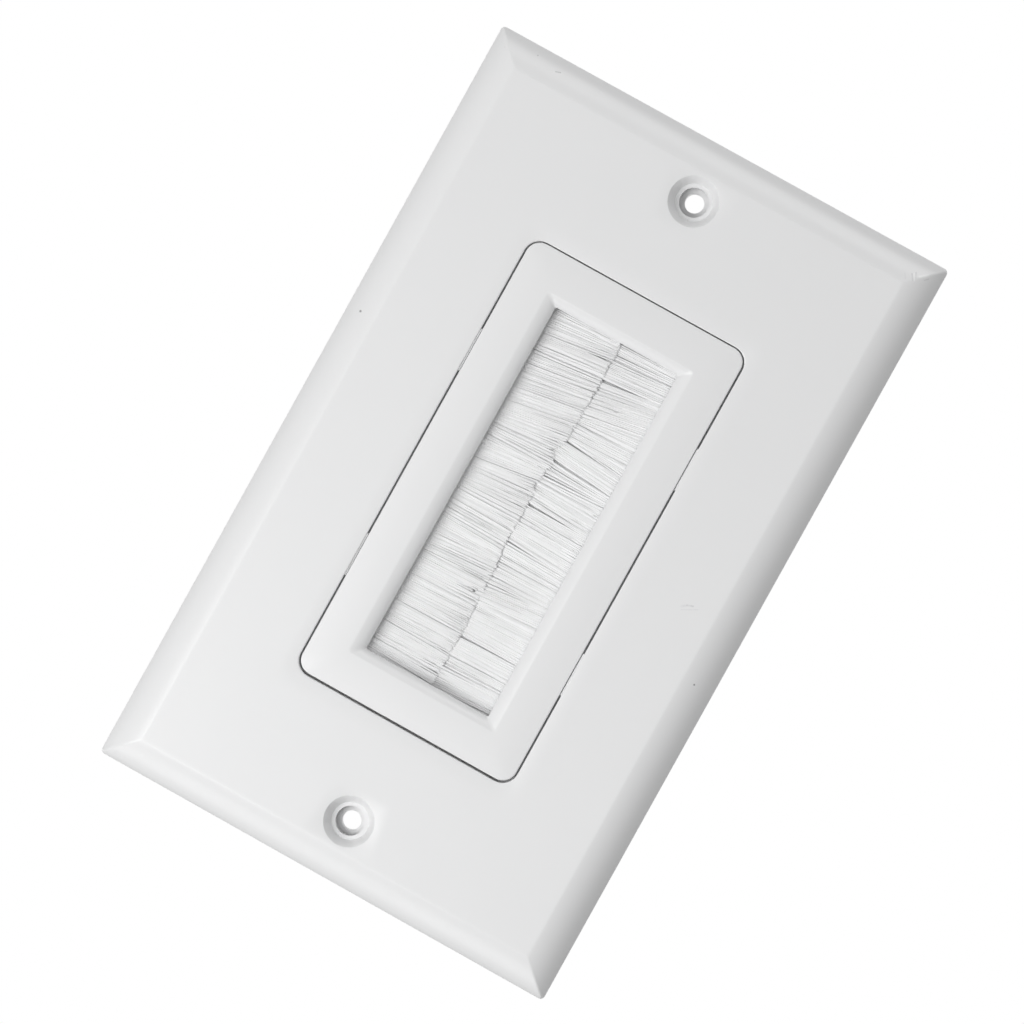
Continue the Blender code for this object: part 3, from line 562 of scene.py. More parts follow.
# %% Ribs, bosses and pads behind the plate
INSERT_WIDTH, INSERT_HEIGHT = 33.5 * MM, 67.15 * MM
CONTACT_GAP = 0.3 * MM
STRAP_THICKNESS = 1.8 * MM
RIB_THICKNESS, RIB_TIP_Y, RIB_DRAFT, RIB_STEP = 1.1 * MM, -2.5 * MM, 0.12 * MM, 0.05 * MM
RIB_ROOT_Y, RIB_EDGE = INSIDE_Y - 0.5 * MM, 0.1 * MM
RING_OFFSET, SIDE_RIB_PITCH, END_RIB_X = 1.2 * MM, 21 * MM, 12.0 * MM
BOSS_RADIUS, BOSS_SKIN, BOSS_SIDES = 4.2 * MM, 0.6 * MM, 96
PAD_GAP, PAD_THICKNESS, PAD_Z, PAD_HALF_LENGTH = 0.08 * MM, 0.42 * MM, 16 * MM, 3.25 * MM
PAD_FRONT, PAD_BACK = -1.65 * MM, 1.0 * MM


def rib_section(axis):
    """Tapered section of a rib that runs along the other axis, as offsets from its root line.

    Its tip stays a small step below the ring's, so that no two faces share a plane.
    """
    half, tip = RIB_THICKNESS / 2, RIB_THICKNESS / 2 - RIB_DRAFT
    height = RIB_TIP_Y - RIB_STEP - RIB_ROOT_Y
    wide = np.array([-half, half, tip, tip - RIB_EDGE, RIB_EDGE - tip, -tip])
    deep = np.array([0, 0, height - RIB_EDGE, height, height, height - RIB_EDGE])
    zeros = np.zeros(6)
    return np.stack([wide, deep, zeros] if axis == "z" else [zeros, deep, wide], axis=1)


ring_profile = [
    (RING_OFFSET, -RIB_ROOT_Y), (RING_OFFSET + RIB_DRAFT, -RIB_TIP_Y),
    (RING_OFFSET + RIB_THICKNESS - RIB_DRAFT, -RIB_TIP_Y),
    (RING_OFFSET + RIB_THICKNESS, -RIB_ROOT_Y), (RING_OFFSET, -RIB_ROOT_Y),
]
plate_parts.append(grid(profile_rows(ring_profile, opening_outline)))
ring_middle = RING_OFFSET + RIB_THICKNESS / 2
for side in (-1, 1):
    ends = side * (OPENING_WIDTH / 2 + ring_middle), side * (PLATE_WIDTH / 2 - PLATE_WALL)
    for level in (-SIDE_RIB_PITCH, 0.0, SIDE_RIB_PITCH):
        plate_parts.append(swept(rib_section("x"), [(x, RIB_ROOT_Y, level) for x in ends]))
    ends = side * (OPENING_HEIGHT / 2 + ring_middle), side * (PLATE_HEIGHT / 2 - PLATE_WALL)
    for x in (-END_RIB_X, END_RIB_X):
        plate_parts.append(swept(rib_section("z"), [(x, RIB_ROOT_Y, z) for z in ends]))
boss_end = -STRAP_THICKNESS - CONTACT_GAP
boss_profile = [
    (sink_inside, INSIDE_Y), (LEDGE_RADIUS, FACE_Y + SINK_DEPTH),
    (BORE_RADIUS, FACE_Y + SINK_DEPTH), (BORE_RADIUS, boss_end),
    (BOSS_RADIUS - EDGE_RADIUS, boss_end), (BOSS_RADIUS, boss_end - EDGE_RADIUS),
    (BOSS_RADIUS, INSIDE_Y - CONTACT_GAP), (sink_inside + BOSS_SKIN, INSIDE_Y - CONTACT_GAP),
    (sink_inside, INSIDE_Y),
]
pad_section = np.array([(0, PAD_FRONT, 0), (PAD_THICKNESS, PAD_FRONT, 0),
                        (PAD_THICKNESS, PAD_BACK, 0), (0, PAD_BACK, 0)])
for side in (-1, 1):
    plate_parts.append(turned(boss_profile, (0.0, side * SCREW_Z), BOSS_SIDES))
    for level in (-PAD_Z, PAD_Z):
        x = side * (INSERT_WIDTH / 2 + PAD_GAP)
        path = [(x, INSIDE_Y, level - PAD_HALF_LENGTH), (x, INSIDE_Y, level + PAD_HALF_LENGTH)]
        plate_parts.append(swept(pad_section * (side, 1, 1), path))
add_piece("plate_moulding", mesh_of("plate_moulding", plate_parts), plate_white,
          ["wall_plate"])

# %% [markdown]
# The insert is a second moulding, flush with the plate. Its face breaks at a faint crease into a
# lip that steepens towards the window, then a straight wall goes down to a collar, behind which
# the brushes are clamped. A flange behind the plate's face stops the insert and hides the seam's
# bottom. The face sits a hair high in its opening, so the seam is finer above than below. The
# whole section is one closed profile carried round, from the back rim over the face and the lip to
# the cavity. The lip is a flat arc, softened where it starts and ends, and its corners are nearly
# sharp, which gives the mitre lines at the window's corners.

# %% Insert box with its lip
INSERT_RADIUS = 2.1 * MM
INSERT_BACK_Y, FRONT_WALL_BACK_Y, COLLAR_BACK_Y = 2.7 * MM, -4.0 * MM, -3.2 * MM
WINDOW_WIDTH, WINDOW_HEIGHT, WINDOW_RADIUS = 19.2 * MM, 53.5 * MM, 0.3 * MM
LIP_WIDTH, LIP_END_WIDTH, LIP_DEPTH = 1.8 * MM, 1.4 * MM, 1.3 * MM
LIP_TURN, LIP_CORNER_RADIUS = math.radians(48), 0.5 * MM
LIP_SOFT, LIP_PART, LIP_STEPS = 0.14 * MM, (0.06, 0.94), 15
FLANGE_REACH = 0.65 * MM
FLANGE_FRONT_Y, FLANGE_BACK_Y = INSIDE_Y + CONTACT_GAP, INSIDE_Y + 1.3 * MM
COLLAR_WALL, SEAT_RISE = 1.65 * MM, 0.09 * MM
CAVITY_WIDTH, CAVITY_HEIGHT, CAVITY_RADIUS = 30.7 * MM, 64.35 * MM, 0.7 * MM
INSERT_ACROSS, INSERT_UP = np.linspace(-1, 1, 13), np.linspace(-1, 1, 25)


def ring(width, height, radius, y, rise=0.0):
    """Rounded rectangle at a depth, its middle moved up by a rise."""
    return at_depth(outline(width, height, radius, INSERT_ACROSS, INSERT_UP, (0.0, rise)), y)


def insert_ring(inset, y, rise=0.0):
    """Outside of the insert at an inset and depth, moved up by a rise."""
    return ring(INSERT_WIDTH - 2 * inset, INSERT_HEIGHT - 2 * inset, INSERT_RADIUS - inset, y, rise)


def window_ring(offset, y):
    """Outline of the window, widened by an offset, at a depth."""
    return ring(WINDOW_WIDTH + 2 * offset, WINDOW_HEIGHT + 2 * offset, WINDOW_RADIUS, y)


def lip_ring(inset, depth):
    """Outline of the lip: the window widened by the share of the lip that is left at an inset."""
    share = 1 - inset / LIP_WIDTH
    radius = WINDOW_RADIUS + (LIP_CORNER_RADIUS - WINDOW_RADIUS) * share
    return ring(WINDOW_WIDTH + 2 * LIP_WIDTH * share, WINDOW_HEIGHT + 2 * LIP_END_WIDTH * share,
                radius, FACE_Y + depth)


def cavity_ring(offset, y):
    """Outline of the cavity behind the face, widened by an offset, at a depth."""
    return ring(CAVITY_WIDTH + 2 * offset, CAVITY_HEIGHT + 2 * offset, CAVITY_RADIUS + offset, y)


lip_first = math.atan2(LIP_DEPTH, LIP_WIDTH) - LIP_TURN / 2
lip_radius = math.hypot(LIP_WIDTH, LIP_DEPTH) / 2 / math.sin(LIP_TURN / 2)
lip_slope = lip_first + LIP_TURN * np.linspace(*LIP_PART, LIP_STEPS)
lip_arc = lip_radius * np.stack([np.sin(lip_slope) - math.sin(lip_first),
                                 math.cos(lip_first) - np.cos(lip_slope)], axis=1)
lip_profile = np.concatenate([
    curve_through((-LIP_SOFT, 0), (0, 0), lip_arc[0], steps=6),
    lip_arc[1:-1],
    curve_through(lip_arc[-1], (LIP_WIDTH, LIP_DEPTH), (LIP_WIDTH, LIP_DEPTH + LIP_SOFT), steps=6),
])
lip_rings = [lip_ring(inset, depth) for inset, depth in lip_profile]
edge = soft_edge(EDGE_RADIUS, steps=5)
insert_rings = [
    insert_ring(RIM_SOFT, INSERT_BACK_Y), insert_ring(0.0, INSERT_BACK_Y - RIM_SOFT),
    insert_ring(0.0, FLANGE_BACK_Y), insert_ring(-FLANGE_REACH, FLANGE_BACK_Y),
    insert_ring(-FLANGE_REACH, FLANGE_FRONT_Y), insert_ring(0.0, FLANGE_FRONT_Y, SEAT_RISE),
    *[insert_ring(inset, FACE_Y + depth, SEAT_RISE) for inset, depth in edge[::-1]],
    *lip_rings, window_ring(0.0, COLLAR_BACK_Y), window_ring(COLLAR_WALL, COLLAR_BACK_Y),
    window_ring(COLLAR_WALL, FRONT_WALL_BACK_Y),
    cavity_ring(0.0, FRONT_WALL_BACK_Y), cavity_ring(0.0, INSERT_BACK_Y - RIM_SOFT),
    cavity_ring(RIM_SOFT, INSERT_BACK_Y), insert_ring(RIM_SOFT, INSERT_BACK_Y),
]
insert_parts = [grid(np.stack(insert_rings))]
print("insert rings:", len(insert_rings))

# %% [markdown]
# Above and below, a flat ear reaches behind the plate. The plate's long screws pass through its
# round hole, and the slot next to it takes the screws of a wall box. Each ear is two plates that
# share one edge: the outline of each matches the outline of its own hole, so straight rows fill
# the space between them. Webs brace the ears, and four posts inside the cavity take the retainer's
# screws.

# %% Strap ears, webs and posts
EAR_WIDTH, EAR_RADIUS = 32.0 * MM, 3.0 * MM
EAR_ROOT_Z, EAR_SPLIT_Z, EAR_END_Z = 32.875 * MM, 45.4 * MM, 53.0 * MM
BOX_SLOT_Z, BOX_SLOT_LENGTH, BOX_SLOT_WIDTH = 41.65 * MM, 7.5 * MM, 3.9 * MM
BOX_SLOT_RADIUS, STRAP_HOLE_RADIUS = BOX_SLOT_WIDTH * 0.49, 1.35 * MM
EAR_ACROSS, EAR_UP = np.linspace(-1, 1, 21), np.linspace(-1, 1, 9)
WEB_X, WEB_THICKNESS, WEB_END_Z = 9.5 * MM, 1.2 * MM, INSERT_HEIGHT / 2 + 4.2 * MM
WEB_FRONT_Y, WEB_BACK_Y, WEB_ROOT_Z = -0.9 * MM, 2.4 * MM, 32.9 * MM
FIXING_X, FIXING_Z, FIXING_RADIUS = 12.65 * MM, 30.275 * MM, 2.1 * MM
PILOT_RADIUS, PILOT_END_Y, POST_END_Y = 1.25 * MM, -2.9 * MM, 0.3 * MM
POST_ROOT_Y, POST_SIDES = FRONT_WALL_BACK_Y - 0.5 * MM, 40


def plate_ring(outer, hole, cut):
    """Flat plate with front, rim and back between an outline and a hole; no rim along z = cut."""
    rows = np.stack([
        at_depth(hole, 0.0), at_depth(hole, -STRAP_THICKNESS), at_depth(outer, -STRAP_THICKNESS),
        at_depth(outer, 0.0), at_depth(hole, 0.0),
    ])
    on_cut = np.abs(np.abs(outer[:, 1]) - cut) < MERGE_DISTANCE
    skip = np.zeros((len(rows) - 1, rows.shape[1]), bool)
    skip[2] = on_cut & np.roll(on_cut, -1)
    return grid(rows, skip=skip)


def span(low, high):
    """Size and middle of a stretch."""
    return high - low, (low + high) / 2


slot_height, slot_middle = span(EAR_ROOT_Z, EAR_SPLIT_Z)
end_height, end_middle = span(EAR_SPLIT_Z, EAR_END_Z)
slot_outer = outline(EAR_WIDTH, slot_height, 0.0, EAR_ACROSS, EAR_UP, (0.0, slot_middle))
slot_hole = outline(BOX_SLOT_LENGTH, BOX_SLOT_WIDTH, BOX_SLOT_RADIUS,
                    EAR_ACROSS, EAR_UP, (0.0, BOX_SLOT_Z))
end_outer = outline(EAR_WIDTH, end_height, (EAR_RADIUS, EAR_RADIUS, 0.0, 0.0),
                    EAR_ACROSS, EAR_UP, (0.0, end_middle))
end_hole = outline(2 * STRAP_HOLE_RADIUS, 2 * STRAP_HOLE_RADIUS, STRAP_HOLE_RADIUS,
                   EAR_ACROSS, EAR_UP, (0.0, SCREW_Z))
web_outline = np.array([
    (0, WEB_FRONT_Y, WEB_ROOT_Z), (0, WEB_BACK_Y, WEB_ROOT_Z), (0, WEB_BACK_Y, INSERT_HEIGHT / 2),
    (0, 0.0, WEB_END_Z), (0, WEB_FRONT_Y, WEB_END_Z),
])
post_profile = [
    (0.0, POST_ROOT_Y), (FIXING_RADIUS, POST_ROOT_Y), (FIXING_RADIUS, -CONTACT_GAP),
    (FIXING_RADIUS - RIM_SOFT, 0.0), (PILOT_RADIUS + RIM_SOFT, 0.0),
    (PILOT_RADIUS, -RIM_SOFT), (PILOT_RADIUS, PILOT_END_Y), (0.0, PILOT_END_Y),
]
for side in (-1, 1):
    mirror = np.array([1, side])
    insert_parts += [plate_ring(slot_outer * mirror, slot_hole * mirror, EAR_SPLIT_Z),
                     plate_ring(end_outer * mirror, end_hole * mirror, EAR_SPLIT_Z)]
    for across in (-1, 1):
        left = across * WEB_X - WEB_THICKNESS / 2
        insert_parts.append(swept(web_outline * (1, 1, side), [
            (left, 0, 0), (left + WEB_THICKNESS, 0, 0)]))
        insert_parts.append(turned(post_profile + np.array([0, POST_END_Y]),
                                   (across * FIXING_X, side * FIXING_Z), POST_SIDES))
add_piece("insert_moulding", mesh_of("insert_moulding", insert_parts), insert_white,
          ["insert_frame"])

# %% [markdown]
# Each brush is a strip of nylon bristles, folded over a wire and gripped by a channel. The
# bristles are thin filaments that stand close together in many layers, in small clumps that lean a
# little up or down, because a strip brush is wound from bundles. Hair curves could do this, but a
# mesh of thin tubes goes with the part when it is exported. A few thousand tubes of four sides are
# enough: each is about two pixels wide in the picture, and smooth shading rounds them. They are a
# little thicker than real filaments, so that the rows stay closed with that many.

# %% Bristle layout
FILAMENTS, LAYERS, FILAMENT_STEPS, FILAMENT_SIDES = 4480, 10, 6, 4
FILAMENT_RADIUS, FILAMENT_SPREAD = 0.155 * MM, (0.86, 1.1)
STRIP_LENGTH, ROOT_X = 55.75 * MM, 12.2 * MM
BUNDLE_Y, BUNDLE_HALF, BUNDLE_MOUTH_X = -1.7 * MM, 1.2 * MM, 11.45 * MM
FOLD_X, FOLD_SLIT, WIRE_CLEARANCE, FOLD_STEPS = 13.15 * MM, 0.03 * MM, 0.75 * MM, 17

# Lean in degrees at a level in mm; a notch is a level, a depth and a width in mm.
LEFT_LEAN = [(-27, -2), (-22, 1), (-16, 2), (-12, 1), (-9.5, 5), (-6, -1), (-2, 1), (1.5, 4),
             (3, 7.5), (6, 3.5), (7.5, 1), (9.5, 7), (12, 9), (15, 9.5), (19, 7), (23, 7),
             (25, 4), (27, 0)]
RIGHT_LEAN = [(-27, -4), (-22, -1), (-16, -1), (-12, -6), (-10, -5), (-6, 1.5), (0, 1), (4, 2.5),
              (6, -4), (7.5, 3.5), (10.5, 5), (12.5, -2), (14, 0), (16.5, -8), (20, -11),
              (22.5, -5), (24, -6), (27, 0)]
LEFT_NOTCHES = [(8.5, 0.9, 0.35), (5.7, 1.3, 0.35), (-12.9, 2.1, 0.3), (2.6, 0.6, 0.3)]
RIGHT_NOTCHES = [(21.6, 0.5, 0.5), (19.4, 0.6, 0.9), (17.2, 0.7, 0.6), (11.6, 1.2, 0.45),
                 (-12.8, 0.8, 0.4), (-16.9, 0.4, 0.4), (-22.0, 0.4, 0.5), (-24.6, 1.0, 0.35)]
NOTCHED_SHARE = 0.55
LEFT_OVERLAP, RIGHT_OVERLAP, LEFT_LIFT, RIGHT_LIFT = 0.35 * MM, 0.8 * MM, -0.18 * MM, 0.0
LEFT_SEED, RIGHT_SEED = 5, 8
MEETING_MIDDLE, MEETING_WAVE, MEETING_PERIOD = 0.25 * MM, 0.35 * MM, 38 * MM


def meeting_x(z):
    """Line where the two rows of tips meet: middle minus wave times cos(2 pi z / period)."""
    return MEETING_MIDDLE - MEETING_WAVE * np.cos(2 * math.pi * z / MEETING_PERIOD)


def table(pairs, z):
    """Straight-line values between (level in mm, value) pairs."""
    levels, values = np.array(pairs).T
    return np.interp(z / MM, levels, values)


def notch_depth(notches, z):
    """How far tips fall short at each level: a bell curve for each (level, depth, width) in mm."""
    level, depth, width = np.array(notches).T
    return (depth * np.exp(-((z[:, None] / MM - level) / width) ** 2)).sum(axis=1) * MM


# %% Tubes along many paths at once


def tubes(paths, radii, sides):
    """Closed thin tubes round many paths: paths (n, steps, 3) and radii (n, steps).

    A ring point is path + radius * (0, cos a, sin a), since the paths run nearly along x. Quads
    join neighbouring rings of four, and the two end rings are closed with one quad each.
    """
    count, steps = radii.shape
    angles = 2 * math.pi * (np.arange(sides) + 0.5) / sides
    spokes = np.stack([np.zeros(sides), np.cos(angles), np.sin(angles)], axis=1)
    points = paths[:, :, None, :] + radii[:, :, None, None] * spokes
    first = (np.arange(count) * steps * sides)[:, None, None]
    start = first + (np.arange(steps - 1) * sides)[None, :, None]
    near, far = np.arange(sides), (np.arange(sides) + 1) % sides
    quads = np.stack([start + near, start + far, start + sides + far, start + sides + near],
                     axis=-1)
    caps = np.stack([first[:, 0] + near[::-1], first[:, 0] + (steps - 1) * sides + near], axis=1)
    return points.reshape(-1, 3), np.concatenate([quads.reshape(-1, 4), caps.reshape(-1, 4)])


# %% Grow one row of bristles
ROOT_JITTER, LEAN_SPREAD, TIP_SPREAD = 0.2, 0.5, 0.12 * MM
CLUMP_GROUPS, CLUMPS, CLUMP_WIDTHS, CLUMP_START = 4, 60, (0.7, 2.6), 1 * MM
CLUMP_TILT, CLUMP_GRIP, CLUMP_BULGE, CLUMP_SHORT = 0.6, (0.02, 0.13), 0.04 * MM, 0.16 * MM
REACH_JITTER, BOW, SWAY, CLOSING = (-0.05, 0.1), 0.07 * MM, 0.1 * MM, 0.12
TIP_RING, TIP_TAPER = 0.99, 0.25


def bristle_paths(side, lean_table, notches, overlap, lift, seed):
    """Paths and radii of one row: root, lean, clumping, tip line and droop, random but seeded.

    A path is root + t * reach along x, with z + lean * reach * t + pull * t^2 towards its clump's
    middle, and y + sag * t^2. The last two rings are close, so that the flat tip stays crisp.
    """
    rng = np.random.default_rng(seed)
    per_layer = FILAMENTS // LAYERS
    pitch = STRIP_LENGTH / per_layer
    layer = np.repeat(np.arange(LAYERS), per_layer)
    slot = np.tile(np.arange(per_layer), LAYERS)
    jitter = rng.uniform(-ROOT_JITTER, ROOT_JITTER, layer.size)
    z = (slot + 0.5 + 0.5 * (layer % 2) + jitter) * pitch
    z = np.minimum(z, STRIP_LENGTH - pitch / 2) - STRIP_LENGTH / 2
    depth = (layer + 0.5) / LAYERS * 2 - 1
    lean = np.tan(np.radians(table(lean_table, z) + rng.normal(0, LEAN_SPREAD, z.size)))
    pull = np.zeros(z.size)
    sag = np.full(z.size, lift)
    short = rng.exponential(TIP_SPREAD, z.size) - overlap
    short += notch_depth(notches, z) * (layer < NOTCHED_SHARE * LAYERS)
    for group in range(CLUMP_GROUPS):
        here = layer * CLUMP_GROUPS // LAYERS == group
        widths = rng.uniform(*CLUMP_WIDTHS, CLUMPS) * MM
        bounds = np.concatenate([[0], np.cumsum(widths)]) - STRIP_LENGTH / 2 - CLUMP_START
        which = np.searchsorted(bounds, z[here]) - 1
        middle = ((bounds[:-1] + bounds[1:]) / 2)[which]
        lean[here] += np.tan(np.radians(rng.normal(0, CLUMP_TILT, CLUMPS)[which]))
        pull[here] = rng.uniform(*CLUMP_GRIP, CLUMPS)[which] * (middle - z[here])
        sag[here] += rng.normal(0, CLUMP_BULGE, CLUMPS)[which]
        short[here] += np.abs(rng.normal(0, CLUMP_SHORT, CLUMPS))[which]
    t = np.append(np.linspace(0, TIP_RING, FILAMENT_STEPS - 1), 1.0)[None, :]
    reach = ROOT_X - side * meeting_x(z) - short + rng.uniform(*REACH_JITTER, z.size) * MM
    bow = rng.normal(0, BOW, z.size)
    sway = rng.normal(0, SWAY, z.size)
    paths = np.stack([
        side * (ROOT_X - reach[:, None] * t),
        BUNDLE_Y + (depth * (BUNDLE_HALF - FILAMENT_RADIUS))[:, None] * (1 - CLOSING * t)
        + sag[:, None] * t ** 2 + bow[:, None] * t * (1 - t),
        z[:, None] + lean[:, None] * reach[:, None] * t + pull[:, None] * t ** 2
        + sway[:, None] * t * (1 - t) * 2,
    ], axis=-1)
    thickness = FILAMENT_RADIUS * rng.uniform(*FILAMENT_SPREAD, z.size)
    radii = thickness[:, None] * (1 - TIP_TAPER * t ** 6)
    limit = STRIP_LENGTH / 2 - FILAMENT_RADIUS
    paths[:, :, 2] = np.clip(paths[:, :, 2], -limit, limit)
    return paths, radii


def ribbon(outer, inner, half_length):
    """Bent sheet: matching outer and inner lines (n, 2) of (x, y), carried from -z to +z.

    Each row holds the four corners of the sheet's cut at one point of the bend.
    """
    corners = [np.column_stack([line, np.full(len(line), z)]) for line, z in (
        (outer, -half_length), (outer, half_length), (inner, half_length), (inner, -half_length))]
    return capped(np.stack(corners, axis=1))


def hairpin(side, radius, gap):
    """Line out along one leg, round a half circle about the fold, and back along the other leg."""
    turn = np.linspace(-math.pi / 2, math.pi / 2, FOLD_STEPS)
    start = math.asin(min(gap / radius, 1.0))
    bend = np.stack([FOLD_X + radius * np.cos(turn), radius * np.sin(turn)], axis=1)
    legs = [(BUNDLE_MOUTH_X, -gap), (FOLD_X - radius * math.cos(start), -gap)]
    line = np.concatenate([legs, bend, [(x, -y) for x, y in legs[::-1]]])
    return line * (side, 1) + (0, BUNDLE_Y)


# %% Nylon finish
NYLON = (0.94, 0.942, 0.945)
NYLON_SHADE = (0.92, 0.922, 0.925)
NYLON_IOR, NYLON_STRETCH = 1.53, (0.05, 1.0, 1.0)
NYLON_TONE_SIZE, NYLON_GLOSS_SIZE, NYLON_GLOSS = 0.5 * MM, 0.3 * MM, (0.28, 0.45)


def nylon(name):
    """White nylon: pale, with fine streaks along the filaments, and gloss that varies with them."""
    material, tree, shader, point = new_material(name)
    stretched = vector(tree, "MULTIPLY", point, NYLON_STRETCH)
    tone = noise(tree, stretched, NYLON_TONE_SIZE, 0.0, 0.8, detail=4.0)
    gloss = noise(tree, stretched, NYLON_GLOSS_SIZE, *NYLON_GLOSS)
    fill(tree, shader, {"Base Color": tinted(tree, NYLON, NYLON_SHADE, tone),
                        "Roughness": gloss, "IOR": NYLON_IOR})
    return material


nylon_white = nylon("nylon_white")
for name, side, leans, notches, overlap, lift, seed in (
        ("left", -1, LEFT_LEAN, LEFT_NOTCHES, LEFT_OVERLAP, LEFT_LIFT, LEFT_SEED),
        ("right", 1, RIGHT_LEAN, RIGHT_NOTCHES, RIGHT_OVERLAP, RIGHT_LIFT, RIGHT_SEED)):
    paths, radii = bristle_paths(side, leans, notches, overlap, lift, seed)
    bundle = ribbon(hairpin(side, BUNDLE_HALF, BUNDLE_HALF),
                    hairpin(side, WIRE_CLEARANCE, FOLD_SLIT), STRIP_LENGTH / 2)
    mesh = mesh_of("filaments_" + name, [tubes(paths, radii, FILAMENT_SIDES), bundle], merge=False)
    add_piece("filaments_" + name, mesh, nylon_white,
              ["bristles_" + name], sharp=0)
    tips = paths[:, -1, 0] / MM
    print(name, "tips between x =", tips.min().round(2), "and", tips.max().round(2))

# %% [markdown]
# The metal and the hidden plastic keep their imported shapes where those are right: the core wires
# and the retainer. The channels are bent from thin sheet, so a line with a proper bend radius,
# thickened to 0.4 mm and carried along, shows the soft outside of the fold. The four small screws
# are turned shapes with a cross recess: the head's height is a dome, and the recess is taken off
# it where the point lies inside either arm of the cross. Their shanks carry a thread, a ridge that
# climbs one pitch for each turn.

# %% Metal finishes
CLOUD_SIZE, STREAK_HEIGHT = 4 * MM, 0.004 * MM


def brushed_metal(name, colour, darker, rough, grain, stretch):
    """Bare metal with drawn streaks along one direction and cloudy patches of duller gloss."""
    material, tree, shader, point = new_material(name)
    drawn = vector(tree, "MULTIPLY", point, stretch)
    streaks = noise(tree, drawn, grain, 0.0, 1.0, detail=4.0)
    clouds = noise(tree, point, CLOUD_SIZE, 0.0, 0.6)
    shade = arithmetic(tree, "MULTIPLY", arithmetic(tree, "ADD", streaks, clouds), 0.5)
    fill(tree, shader, {
        "Base Color": tinted(tree, colour, darker, shade), "Metallic": 1.0,
        "Roughness": noise(tree, drawn, grain * 2, *rough),
        "Normal": bump(tree, streaks, STREAK_HEIGHT, 0.5),
    })
    return material


aluminium = brushed_metal("channel_aluminium", (0.80, 0.81, 0.82), (0.66, 0.67, 0.68),
                          (0.28, 0.46), 0.25 * MM, (1.0, 1.0, 0.04))
wire_steel = brushed_metal("core_wire_steel", (0.62, 0.62, 0.61), (0.45, 0.45, 0.44),
                           (0.25, 0.42), 0.12 * MM, (1.0, 1.0, 0.05))
zinc = brushed_metal("screw_zinc", (0.74, 0.75, 0.77), (0.56, 0.57, 0.60),
                     (0.22, 0.40), 0.3 * MM, (1.0, 0.3, 1.0))

# %% Brush channels
CHANNEL_MOUTH_X, CHANNEL_WEB_X, CHANNEL_HALF = 11.55 * MM, 15.05 * MM, 2.0 * MM
CHANNEL_SHEET, CHANNEL_BEND, CHANNEL_CRIMP, BEND_STEPS = 0.4 * MM, 0.9 * MM, 0.1 * MM, 9


def channel_line(side, shrink):
    """Cut line of the channel, moved into the sheet by shrink: leg, bend, web, bend and leg."""
    half, bend, web = CHANNEL_HALF - shrink, CHANNEL_BEND - shrink, CHANNEL_WEB_X - shrink
    turn = np.linspace(0, math.pi / 2, BEND_STEPS)
    arc = np.stack([web - bend + bend * np.sin(turn), half - bend + bend * np.cos(turn)], axis=1)
    leg = np.concatenate([[(CHANNEL_MOUTH_X, half - CHANNEL_CRIMP)], arc])
    return np.concatenate([leg, leg[::-1] * (1, -1)]) * (side, 1) + (0, BUNDLE_Y)


def finish_packed(name, material):
    """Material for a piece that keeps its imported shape."""
    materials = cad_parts[name].data.materials
    materials.clear()
    materials.append(material)


for name, side in (("left", -1), ("right", 1)):
    sheet = ribbon(channel_line(side, 0.0), channel_line(side, CHANNEL_SHEET), STRIP_LENGTH / 2)
    add_piece("channel_" + name, mesh_of("channel_" + name, [sheet]), aluminium,
              ["brush_channel_" + name])
    finish_packed("core_wire_" + name, wire_steel)

# %% Retainer finish
NATURAL, NATURAL_DEEPER = (0.77, 0.77, 0.755), (0.72, 0.72, 0.70)
SPARK_SIZE, SPARK_HEIGHT = 0.22 * MM, 0.012 * MM
NATURAL_DRIFT, NATURAL_GLOSS_SIZE, NATURAL_GLOSS = 12 * MM, 3 * MM, (0.42, 0.58)


def natural_moulding(name):
    """Unpainted satin plastic: warmer and duller than the face, with fine spark texture."""
    material, tree, shader, point = new_material(name)
    drift = noise(tree, point, NATURAL_DRIFT, 0.0, 0.9)
    sparks = noise(tree, point, SPARK_SIZE, 0.0, 1.0)
    fill(tree, shader, {"Base Color": tinted(tree, NATURAL, NATURAL_DEEPER, drift),
                        "Roughness": noise(tree, point, NATURAL_GLOSS_SIZE, *NATURAL_GLOSS),
                        "Normal": bump(tree, sparks, SPARK_HEIGHT, 0.6)})
    return material


finish_packed("rear_retainer", natural_moulding("retainer_natural"))
print("retainer and core wires keep their packed shapes")

# %% Retainer screws
HEAD_SEAT_Y = 2.7 * MM
HEAD_RADIUS, HEAD_HEIGHT, HEAD_EDGE = 1.9 * MM, 1.2 * MM, 0.3 * MM
SHANK_RADIUS, SHANK_LENGTH = 0.95 * MM, 5.3 * MM
HEAD_SIDES, HEAD_RINGS, DOME_POWER = 112, 40, 2.4
RECESS_DEPTH, RECESS_LENGTH, RECESS_WIDTH = 0.7 * MM, 1.1 * MM, 0.27 * MM
RECESS_WALL, RECESS_RISE = (0.72, 1.08), 0.35
THREAD_PITCH, THREAD_DEPTH, THREAD_SHARPNESS = 0.8 * MM, 0.14 * MM, 5
SHANK_SIDES, SHANK_RINGS, SHANK_OVERLAP = 24, 90, 0.2 * MM
POINT_LENGTH, POINT_TAPER = 1.5 * MM, 0.8


def smooth_step(value, low, high):
    """0 below low, 1 above high, and 3t^2 - 2t^3 between them."""
    t = np.clip((value - low) / (high - low), 0, 1)
    return t * t * (3 - 2 * t)


